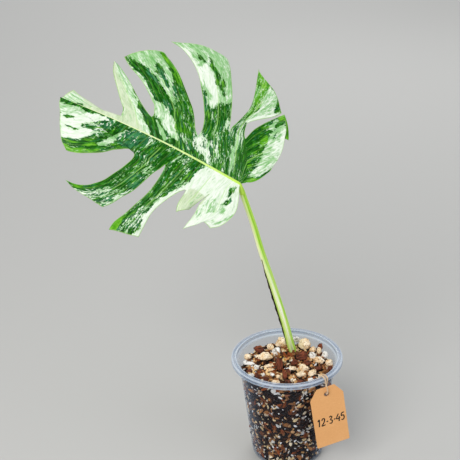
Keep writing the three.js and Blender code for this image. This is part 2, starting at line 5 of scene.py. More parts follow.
import bmesh
import bpy
import numpy as np
from mathutils import Matrix, Vector, noise


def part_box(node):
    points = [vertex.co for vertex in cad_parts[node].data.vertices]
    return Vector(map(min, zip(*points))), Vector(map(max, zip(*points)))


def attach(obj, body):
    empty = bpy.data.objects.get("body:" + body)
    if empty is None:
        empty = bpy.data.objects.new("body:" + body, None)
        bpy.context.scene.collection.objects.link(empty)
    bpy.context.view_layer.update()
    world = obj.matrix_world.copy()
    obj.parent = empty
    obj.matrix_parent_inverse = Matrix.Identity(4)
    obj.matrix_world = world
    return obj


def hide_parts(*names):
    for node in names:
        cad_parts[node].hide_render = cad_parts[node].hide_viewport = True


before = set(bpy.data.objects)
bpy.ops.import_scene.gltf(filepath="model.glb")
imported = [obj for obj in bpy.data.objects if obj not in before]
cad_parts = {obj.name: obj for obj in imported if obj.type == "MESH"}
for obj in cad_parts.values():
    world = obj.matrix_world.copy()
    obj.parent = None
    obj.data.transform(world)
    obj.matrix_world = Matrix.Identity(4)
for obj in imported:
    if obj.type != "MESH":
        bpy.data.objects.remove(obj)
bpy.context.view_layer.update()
scene = bpy.context.scene
millimetre = 0.001


# Colours, materials and meshes

def linearColour(hexColour, alpha=1.0):
    # sRGB hex to the linear colour that the shader works in
    channels = [int(hexColour[i:i + 2], 16) / 255 for i in (1, 3, 5)]
    return [c / 12.92 if c <= 0.04045 else ((c + 0.055) / 1.055) ** 2.4 for c in channels] + [alpha]


def perMetre(size):
    # texture scale whose features are this many millimetres across
    return 1 / (size * millimetre)


def addNode(tree, kind, inputs=None, stops=None, out=None, **settings):
    # inputs are values, hex colours or other nodes' outputs; gives the output named, or the first in use
    node = tree.nodes.new("ShaderNode" + kind)
    for name, value in settings.items():
        setattr(node, name, value)
    for name, value in (inputs or {}).items():
        if isinstance(value, bpy.types.NodeSocket):
            tree.links.new(value, node.inputs[name])
        else:
            node.inputs[name].default_value = linearColour(value) if isinstance(value, str) else value
    for i, (position, colour) in enumerate(stops or []):
        elements = node.color_ramp.elements
        element = elements[i] if i < 2 else elements.new(position)
        element.position, element.color = position, linearColour(colour)
    return node.outputs[out] if out else next((o for o in node.outputs if o.enabled), None)


def newMaterial(name):
    material = bpy.data.materials.new(name)
    material.use_nodes = True
    material.node_tree.nodes.clear()
    return material, material.node_tree


def surface(tree, colour, roughness, relief=None, strength=1, depth=0, specular=0.5, **sockets):
    # a surface of this colour, whose relief is so many millimetres deep
    if relief is not None:
        sockets["Normal"] = addNode(tree, "Bump", {
            "Height": relief, "Strength": strength, "Distance": depth * millimetre})
    return addNode(tree, "BsdfPrincipled", {
        "Base Color": colour, "Roughness": roughness, "Specular IOR Level": specular, **sockets})


def closed(material, shader):
    addNode(material.node_tree, "OutputMaterial", {"Surface": shader})
    return material


def mottled(name, size, detail, stops, roughness, strength=0, depth=0, specular=0.5, stretch=(1, 1, 1),
            **sockets):
    # a finish whose colour and relief follow one noise, its marks so many millimetres across
    material, tree = newMaterial(name)
    place = addNode(tree, "Mapping", {"Vector": addNode(tree, "TexCoord", out="Object"), "Scale": stretch})
    marks = addNode(tree, "TexNoise", {"Vector": place, "Scale": perMetre(size), "Detail": detail})
    colour = addNode(tree, "ValToRGB", {"Fac": marks}, stops)
    return closed(material, surface(tree, colour, roughness, marks if strength else None, strength, depth,
                                    specular, **sockets))


def newObject(name, data):
    thing = bpy.data.objects.new(name, data)
    scene.collection.objects.link(thing)
    return thing


def finalMesh(thing):
    # the mesh that an object's curves or modifiers make
    bpy.context.view_layer.update()
    return bpy.data.meshes.new_from_object(thing.evaluated_get(bpy.context.evaluated_depsgraph_get()))


def pointsAndFaces(mesh):
    return np.array([v.co[:] for v in mesh.vertices]) / millimetre, [p.vertices[:] for p in mesh.polygons]


def addPiece(name, points, faces, material, slot=None, smooth=True, replaced=()):
    # points in millimetres; the piece rides on the plant's one body
    mesh = bpy.data.meshes.new(name)
    mesh.from_pydata((np.asarray(points, float) * millimetre).tolist(), [], [tuple(f) for f in faces])
    mesh.polygons.foreach_set("use_smooth", [smooth] * len(mesh.polygons))
    mesh.materials.append(material)
    mesh.update()
    piece = newObject(name, mesh)
    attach(piece, "root")
    if replaced:
        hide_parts(*replaced)
    return piece


def addValues(piece, name, values, kind="FLOAT"):
    # one number, vector or colour for each point, which the material reads by name
    attribute = piece.data.attributes.new(name, kind, "POINT")
    field = {"FLOAT": "value", "FLOAT_VECTOR": "vector", "FLOAT_COLOR": "color"}[kind]
    attribute.data.foreach_set(field, np.asarray(values, np.float32).ravel())


def addCornerMap(piece, name, cornerPlaces):
    layer = piece.data.uv_layers.new(name=name)
    layer.data.foreach_set("uv", np.asarray(cornerPlaces, np.float32).ravel())


# Lines, tubes and turned bodies

def routeThrough(points, spacing):
    # centripetal Catmull-Rom curve, the same that the CAD uses, as evenly spaced points
    p = np.array(points, float)
    p = np.vstack([2 * p[0] - p[1], p, 2 * p[-1] - p[-2]])
    fine = []
    for a, b, c, d in zip(p[:-3], p[1:-2], p[2:-1], p[3:]):
        ab, bc, cd = (math.sqrt(np.linalg.norm(y - x)) for x, y in ((a, b), (b, c), (c, d)))
        start = ((b - a) / ab - (c - a) / (ab + bc) + (c - b) / bc) * bc
        end = ((c - b) / bc - (d - b) / (bc + cd) + (d - c) / cd) * bc
        for t in np.linspace(0, 1, 24, endpoint=False):
            fine.append(b + start * t + (3 * (c - b) - 2 * start - end) * t * t
                        + (2 * (b - c) + start + end) * t ** 3)
    fine.append(p[-2])
    fine = np.array(fine)
    reach = np.concatenate([[0], np.cumsum(np.linalg.norm(np.diff(fine, axis=0), axis=1))])
    places = np.linspace(0, reach[-1], max(2, round(reach[-1] / spacing) + 1))
    return np.stack([np.interp(places, reach, fine[:, k]) for k in range(3)], 1)


def unit(vectors):
    return vectors / np.linalg.norm(vectors, axis=-1, keepdims=True)


def framesAlong(line, first):
    # two directions across the line at each point, carried along without twist
    tangents = unit(np.gradient(line, axis=0))
    sides = []
    side = np.array(first, float)
    for tangent in tangents:
        side = unit(side - tangent * (side @ tangent))
        sides.append(side)
    sides = np.array(sides)
    return tangents, sides, np.cross(tangents, sides)


def ringFaces(rows, sides, caps=True):
    faces = []
    for i in range(rows - 1):
        for j in range(sides):
            a, b = i * sides + j, i * sides + (j + 1) % sides
            faces.append((a, b, b + sides, a + sides))
    if caps:
        last = (rows - 1) * sides
        faces.append(tuple(range(sides - 1, -1, -1)))
        faces.append(tuple(range(last, last + sides)))
    return faces


def tube(line, radii, sides, first=(0, 0, 1)):
    _, across, up = framesAlong(line, first)
    angles = 2 * np.pi * np.arange(sides) / sides
    spokes = np.cos(angles)[None, :, None] * across[:, None] + np.sin(angles)[None, :, None] * up[:, None]
    radii = np.broadcast_to(np.asarray(radii, float).reshape(-1, 1, 1), (len(line), 1, 1))
    return (line[:, None] + spokes * radii).reshape(-1, 3), ringFaces(len(line), sides)


def joined(parts):
    # several (points, faces) pairs as one
    points, faces, count = [], [], 0
    for somePoints, someFaces in parts:
        points.append(somePoints)
        faces += [tuple(i + count for i in face) for face in someFaces]
        count += len(somePoints)
    return np.concatenate(points), faces


def rounded(start, corner, end, steps):
    # a quarter-like bend from start to end, pulled towards its corner
    t = np.linspace(0, 1, steps)[:, None]
    a, b, c = (np.array(p, float) for p in (start, corner, end))
    return ((1 - t) ** 2 * a + 2 * t * (1 - t) * b + t ** 2 * c).tolist()


def turned(profile, segments):
    # a closed body turned about the pot's axis; the profile starts and ends on the axis
    ring = [p for p in profile if p[0] > 0]
    angles = 2 * np.pi * np.arange(segments) / segments
    points = [(r * math.cos(a), r * math.sin(a), z) for r, z in ring for a in angles]
    faces = ringFaces(len(ring), segments, caps=False)
    start, end = len(points), len(points) + 1
    points += [(0, 0, profile[0][1]), (0, 0, profile[-1][1])]
    last = (len(ring) - 1) * segments
    for j in range(segments):
        following = (j + 1) % segments
        faces.append((start, following, j))
        faces.append((end, last + j, last + following))
    return np.array(points), faces


def blend(low, high, value):
    t = np.clip((value - low) / (high - low), 0, 1)
    return t * t * (3 - 2 * t)


# Camera, light and floor

view = {
    "place": (-0.0519, -0.7827, 0.5934),   # metres
    "down": 23.83, "roll": -1.995,         # degrees
    "lens": 72, "sensor": 36,              # millimetres
    "frame": 460, "aimSteps": 12,          # pixels across, and how often a sight line is aimed again
}
studio = {
    "floor": "#bebebc", "sky": "#f4f6f8", "skyStrength": 0.37,
    "floorHalf": 6.0, "floorGap": 0.0003,   # metres
    # place in metres, size in metres, watts, colour, and the point that it faces
    "key": ((-0.78, -1.3, 1.4), 1.2, 30, "#fffdf9", (-0.03, 0, 0.2)),
    "fill": ((1.5, -0.9, 0.9), 1.5, 9, "#f3f7ff", (-0.03, 0, 0.2)),
    "back": ((0.5, 1.5, 1.5), 1.2, 9, "#ffffff", (-0.03, 0, 0.2)),
    "backdrop": ((0, 3.4, 2.6), 3.0, 62, "#ffffff", (0, 3.6, 0)),
}


def cameraTurn():
    tilt = Matrix.Rotation(math.radians(90 - view["down"]), 4, "X")
    return tilt @ Matrix.Rotation(math.radians(view["roll"]), 4, "Z")


def addCamera():
    data = bpy.data.cameras.new("camera")
    data.lens, data.sensor_width = view["lens"], view["sensor"]
    scene.camera = newObject("camera", data)
    scene.camera.matrix_world = Matrix.Translation(view["place"]) @ cameraTurn()


def addLights():
    for name in ("key", "fill", "back", "backdrop"):
        place, size, watts, colour, aim = studio[name]
        data = bpy.data.lights.new(name, "AREA")
        data.size, data.energy, data.color = size, watts, linearColour(colour)[:3]
        lamp = newObject(name, data)
        lamp.location = place
        lamp.rotation_euler = (Vector(aim) - Vector(place)).to_track_quat("-Z", "Y").to_euler()
    scene.world = bpy.data.worlds.new("studio")
    scene.world.use_nodes = True
    sky = scene.world.node_tree.nodes["Background"].inputs
    sky["Color"].default_value = linearColour(studio["sky"])
    sky["Strength"].default_value = studio["skyStrength"]
    scene.view_settings.view_transform = "Standard"   # colours stay as the materials give them


def addFloor():
    # matt paper backdrop: an even, pale surface with no gloss
    material, tree = newMaterial("matt backdrop paper")
    place = addNode(tree, "TexCoord", out="Object")
    grain = addNode(tree, "TexNoise", {"Vector": place, "Scale": perMetre(0.8), "Detail": 2})
    closed(material, surface(tree, studio["floor"], 0.9, grain, 0.05, 0.1, 0.2))
    half, low = studio["floorHalf"], -studio["floorGap"]
    mesh = bpy.data.meshes.new("floor")
    mesh.from_pydata([(-half, -half, low), (half, -half, low), (half, half, low), (-half, half, low)], [],
                     [(0, 1, 2, 3)])
    mesh.materials.append(material)
    newObject("floor", mesh)


addCamera()
addLights()
addFloor()
print("camera, light and floor")

# Twine: three jute yarns laid together, which loops over the rim and through the tag's hole

twine = {
    "diameter": 1.4, "yarns": 3, "yarnRadius": 0.4, "lay": 4.6, "sides": 9, "spacing": 0.3,
    "fuzz": 320, "fuzzReach": (0.4, 1.3), "fuzzRadius": 0.045, "fuzzTip": 0.3, "fuzzSteps": 5,
    "fuzzStart": 0.36, "fuzzRise": 0.8, "fuzzTrail": 1.3, "fuzzBend": 1.6, "seed": 4,
    "route": [
        (26.4, -27.2, 101), (27.8, -30.6, 101.4), (28.1, -33.1, 102.6), (28.2, -35.6, 104.6),
        (28.8, -38.2, 107), (28.9, -38.9, 108.8), (29.2, -39.8, 110.6), (30.2, -41.4, 111.5),
        (31.4, -43.1, 111.5), (32.8, -44.8, 110.5), (33.3, -45.4, 108.2), (34.1, -46.2, 104),
        (35.1, -47.9, 99.8), (35.2, -48.2, 97), (35, -47.4, 95), (34.4, -45.5, 94.2), (33.9, -43.6, 95),
        (33.6, -42.8, 97), (33.9, -43.1, 100.2), (35, -44.1, 104.4), (35.4, -43.8, 108.2),
        (35.1, -43, 110.5), (33.8, -41.2, 111.5), (32.8, -39.5, 111.5), (31.8, -37.8, 110.6),
        (31.4, -36.9, 108.8), (31.4, -36.1, 107), (30.4, -33.7, 104.6), (29.5, -31.2, 102.6),
        (29.6, -28.6, 101),
    ],
}


def juteMaterial():
    # jute, spun: coarse dull fibres along each yarn, paler and darker at random, the paler on the raised
    # strands as a painted highlight, and painted shade dark in the lay between the yarns
    material, tree = newMaterial("spun jute twine")
    place = addNode(tree, "TexCoord", out="Object")
    strands, patchy = (addNode(tree, "TexNoise", {"Vector": place, "Scale": perMetre(size), "Detail": detail})
                       for size, detail in ((0.5, 4), (5, 2)))
    mixed = addNode(tree, "Math", {0: strands, 1: 0.6, 2: patchy}, operation="MULTIPLY_ADD")
    fibre = addNode(tree, "ValToRGB", {"Fac": mixed}, [
        (0.55, "#b8906a"), (1.0, "#ecd9bb"), (0.78, "#d3b492")])
    # painted shade: outward is 0 deep in the lay between the yarns, where the colour turns dark brown
    depth = addNode(tree, "Attribute", out="Fac", attribute_name="outward")
    colour = addNode(tree, "Mix", {0: depth, 6: "#5f4328", 7: fibre}, data_type="RGBA")
    return closed(material, surface(tree, colour, 0.92, strands, 0.8, 0.2, 0.25, **{"Sheen Weight": 0.25}))


def addTwine():
    rng = np.random.default_rng(twine["seed"])
    route = routeThrough(twine["route"], twine["spacing"])
    length = np.linalg.norm(np.diff(route, axis=0), axis=1).sum()
    tangents, across, up = framesAlong(route, (1, 0, 0))
    reach = np.linspace(0, length, len(route))
    offset = twine["diameter"] / 2 - twine["yarnRadius"]
    parts, outward = [], []
    for k in range(twine["yarns"]):
        turn = 2 * np.pi * (k / twine["yarns"] + reach / twine["lay"])
        lean = np.cos(turn)[:, None] * across + np.sin(turn)[:, None] * up
        swell = 1 + 0.10 * np.sin(reach * 1.9 + 2 * k) + 0.05 * np.sin(reach * 4.7 + k)
        points, faces = tube(route + lean * offset, twine["yarnRadius"] * swell, twine["sides"], (1, 0, 0))
        # how far out on its yarn each point lies; the material paints shade where this is low, in the lay
        away = np.linalg.norm(points.reshape(len(route), -1, 3) - route[:, None], axis=2).ravel()
        outward.append(blend(0.2 * twine["diameter"], 0.44 * twine["diameter"], away))
        parts.append((points, faces))
    for _ in range(twine["fuzz"]):
        i = rng.integers(4, len(route) - 4)
        angle = rng.uniform(0, 2 * np.pi)
        away = across[i] * math.cos(angle) + up[i] * math.sin(angle)
        along = tangents[i] * rng.choice([-1, 1])
        reachOut = rng.uniform(*twine["fuzzReach"])
        steps = np.linspace(0, 1, twine["fuzzSteps"])[:, None]
        start = route[i] + away * twine["diameter"] * twine["fuzzStart"]
        trailing = along * reachOut * twine["fuzzTrail"] * steps ** twine["fuzzBend"]
        hair = start + away * reachOut * twine["fuzzRise"] * steps + trailing
        thinning = np.linspace(1, twine["fuzzTip"], twine["fuzzSteps"])
        points, faces = tube(hair, twine["fuzzRadius"] * thinning, 3, (0.3, 0.5, 0.8))
        parts.append((points, faces))
        outward.append(np.ones(len(points)))
    points, faces = joined(parts)
    piece = addPiece("tag_twine_jute", points, faces, juteMaterial(), "jute_twine", replaced=["tag_twine"])
    addValues(piece, "outward", np.concatenate(outward))
    [c * millimetre for c in twine["route"][0]]
    print(f"twine, {length:.1f} mm long")


addTwine()

# Leaf: each lobe is a sheet between two feet on the midrib. s runs along the midrib from the petiole,
# t across it. near is the lobe's edge on the petiole's side and far the one on the tip's side, and
# both start at the bottom of the cut beside them.

leaf = {
    "junction": (-41.5, -15, 299), "heading": 168, "rise": 26, "tilt": 44,
    "length": 180, "bow": 3.2, "tipOffset": 1.5,
    "fold": 0.16, "foldWidth": 3, "sideDroop": 0.002, "tipDroop": 0.0003, "camber": 3.0,
    "thickness": 0.5, "webRows": 12, "lobeRows": 60, "rowCrowding": 1.5, "edgeSmoothing": 3,
    "ripple": 0.9, "rippleLength": 46, "rippleSlant": 0.8, "rippleStart": (8, 60), "quilt": 0.16,
    "quiltWidth": 7.5, "sideVeinGroove": 0.35, "sideVeinWidth": 1.5, "farOff": 9.0,
    "rib": (1.7, 0.4), "ribTaper": 0.7, "ribSteps": 240, "ribSides": 16, "ribSunk": 0.45,
    "ribTissue": (0.8, 0.2, 0.4), "patchDrift": 2.2, "patchEdge": 1.5,
    # where the streaks of the lower half, the rib and the folded tip begin, so that they differ
    "lowerSpread": 400.0, "ribSpread": 500.0, "flapSpread": 600,
    # the knee that joins the midrib to the stalk's top, and the folded tip of the lobe beside it
    "knee": [(-39.4, -12.6, 288.5), (-40.6, -13.5, 293), (-41.3, -14.4, 296.8)], "kneeRadius": 2.45,
    "kneeSpacing": 0.7, "flapProud": 0.6, "flapGrid": (26, 6), "flapWidth": 5, "flapLength": 30,
    "flapInner": [(-8, 83.5), (-12, 73), (-15, 65), (-18.2, 60)],
    "flapOuter": [(-8, 83.5), (-14.5, 75.5), (-18.5, 68.5), (-22, 60)],
    # places along the midrib that are a foot of either half, and the columns between them
    "stations": [0, 2, 13, 14, 35, 42, 61, 86, 91, 122, 180],
    "columns": [30, 34, 4, 26, 12, 24, 30, 10, 26, 40],
}
cut = {
    "upper1": (14, 40), "upper2": (29, 39), "upper3": (53, 23), "upper4": (98, 20), "upperTip": (123, 9),
    "lower1": (20, -22), "lower2": (40, -28.5), "lower3": (67, -15), "lowerTip": (97, -18),
}
leafTip = (180, 1.5)
lobes = {
    "upper1": {
        "feet": (0, 2), "span": 45,
        "near": [(-5, 4), (-9, 6), (-14, 12), (-19, 24)],
        "far": [cut["upper1"], (11, 52), (8, 58), (3, 67), (-8, 84)],
        "end": [(-19, 24), (-21, 36), (-21, 48), (-18, 59), (-16, 68), (-8, 84)],
    },
    "upper2": {
        "feet": (2, 13), "span": 34,
        "near": [cut["upper1"], (17, 44), (19, 54), (18, 58), (9, 67), (3, 72), (-2, 78), (-5, 84)],
        "far": [cut["upper2"], (30, 44), (28, 50), (25, 60), (23, 70), (23, 77), (25, 88), (29, 104),
                (33, 119)],
        "end": [(-5, 84), (5, 96), (14, 104), (23, 110), (31, 115), (33, 119)],
    },
    "upper3": {
        "feet": (13, 42), "span": 38,
        "near": [cut["upper2"], (32, 46), (35, 56), (41, 71), (45, 81), (51, 93), (58, 106), (64, 114)],
        "far": [cut["upper3"], (52, 29), (53, 34), (56, 43), (59, 48), (65, 59), (72, 70), (78, 79),
                (86, 87), (93, 94), (101, 99), (108, 101.5), (118, 103)],
        "end": [(64, 114), (68, 115), (78, 115), (88, 114), (97, 111), (106, 107), (112, 104), (118, 103)],
    },
    "upper4": {
        "feet": (42, 86), "span": 40,
        "near": [cut["upper3"], (58, 27), (62, 35), (68, 44), (75, 51), (80, 57), (90, 67), (100, 76),
                 (109, 83), (113, 85), (116, 87)],
        "far": [cut["upper4"], (97, 24), (99, 27), (101, 32), (105, 35), (109, 39), (113, 42), (118, 46),
                (128, 52), (139, 58), (148, 65)],
        "end": [(116, 87), (119, 88), (127, 84), (132, 81), (139, 75), (145, 69), (148, 65)],
    },
    "upper5": {
        "feet": (86, 122), "span": 18,
        "near": [cut["upper4"], (103, 22), (111, 27), (119, 33), (128, 40), (137, 47), (147, 54), (151, 56),
                 (154, 56)],
        "far": [cut["upperTip"], (124, 16), (127, 19), (130, 22), (137, 30), (144, 38), (150, 46), (153, 53),
                (154, 56)],
        "end": [(154, 56), (154, 56)],
    },
    "upperTip": {
        "feet": (122, 180), "span": 30,
        "near": [cut["upperTip"], (129, 8), (135, 7), (141, 7), (148, 8), (158, 10), (165, 11), (173, 14)],
        "far": [leafTip], "end": [(173, 14), (178, 3), leafTip],
    },
    "lower1": {
        "feet": (0, 14), "span": 30,
        "near": [(-1, -4), (-4, -11), (-7, -21), (-8, -27), (-6, -36), (-1, -45), (6, -50)],
        "far": [cut["lower1"], (22, -28), (24, -34), (24, -42), (24, -46), (25, -52), (26, -56), (27, -62)],
        "end": [(6, -50), (9, -49), (14, -48), (15, -50), (19, -55), (22, -57), (27, -62)],
    },
    "lower2": {
        "feet": (14, 35), "span": 16,
        "near": [cut["lower1"], (25, -32), (27, -36), (30, -43)],
        "far": [cut["lower2"], (40, -35), (41, -39), (41, -45), (39, -50)],
        "end": [(30, -43), (33, -46), (39, -50)],
    },
    "lower3": {
        "feet": (35, 61), "span": 24,
        "near": [cut["lower2"], (44, -32), (47, -37), (52, -46), (56, -55), (58, -63), (58, -71), (58, -85)],
        "far": [cut["lower3"], (66, -18), (66, -27), (67, -39), (69, -49), (74, -61), (78, -72), (83, -81),
                (84, -86), (84, -90)],
        "end": [(58, -85), (61, -86), (68, -88), (77, -89), (84, -90)],
    },
    "lower4": {
        "feet": (61, 91), "span": 28,
        "near": [cut["lower3"], (69, -21), (72, -26), (74, -31), (77, -41), (81, -52), (87, -60), (92, -69),
                 (98, -75)],
        "far": [cut["lowerTip"], (95, -20), (95, -24), (96, -28), (100, -38), (103, -43), (108, -53),
                (115, -60), (120, -64), (129, -67), (138, -67)],
        "end": [(98, -75), (102, -75), (111, -74), (121, -73), (130, -71), (138, -67)],
    },
    "lowerTip": {
        "feet": (91, 180), "span": 50,
        "near": [cut["lowerTip"], (100, -16), (105, -18), (109, -21), (114, -24), (118, -28), (123, -32),
                 (131, -36), (139, -40), (147, -42), (151, -42)],
        "far": [leafTip],
        "end": [(151, -42), (155, -39), (158, -37), (161, -33), (167, -24), (174, -10), (179, -3), leafTip],
    },
}

# How pale a patch is in the leaf's outer and inner tissue, from -1 for sure green to 1.5 for sure white,
# and how yellow it is.
# Both pale gives white, only the outer gives mint, only the inner blue-green, and neither dark green.
tissue = {
    "white": (1.5, 1.2, 0.0), "flecked": (0.25, 0.3, 0.05), "cream": (1.45, 0.9, 0.75),
    "mint": (1.4, -0.6, 0.0), "paleMint": (1.4, -0.05, 0.0), "pale": (0.45, 0.5, 0.0),
    "blue": (-0.7, 0.4, 0.0), "dark": (-0.95, -0.75, 0.0), "marbled": (-0.5, -0.4, 0.1),
    "mixed": (-0.12, 0.0, 0.1), "mid": (-0.68, -0.45, 0.22), "lime": (-0.95, -0.6, 0.85),
    "limeFlecked": (-0.2, -0.3, 0.75),
}
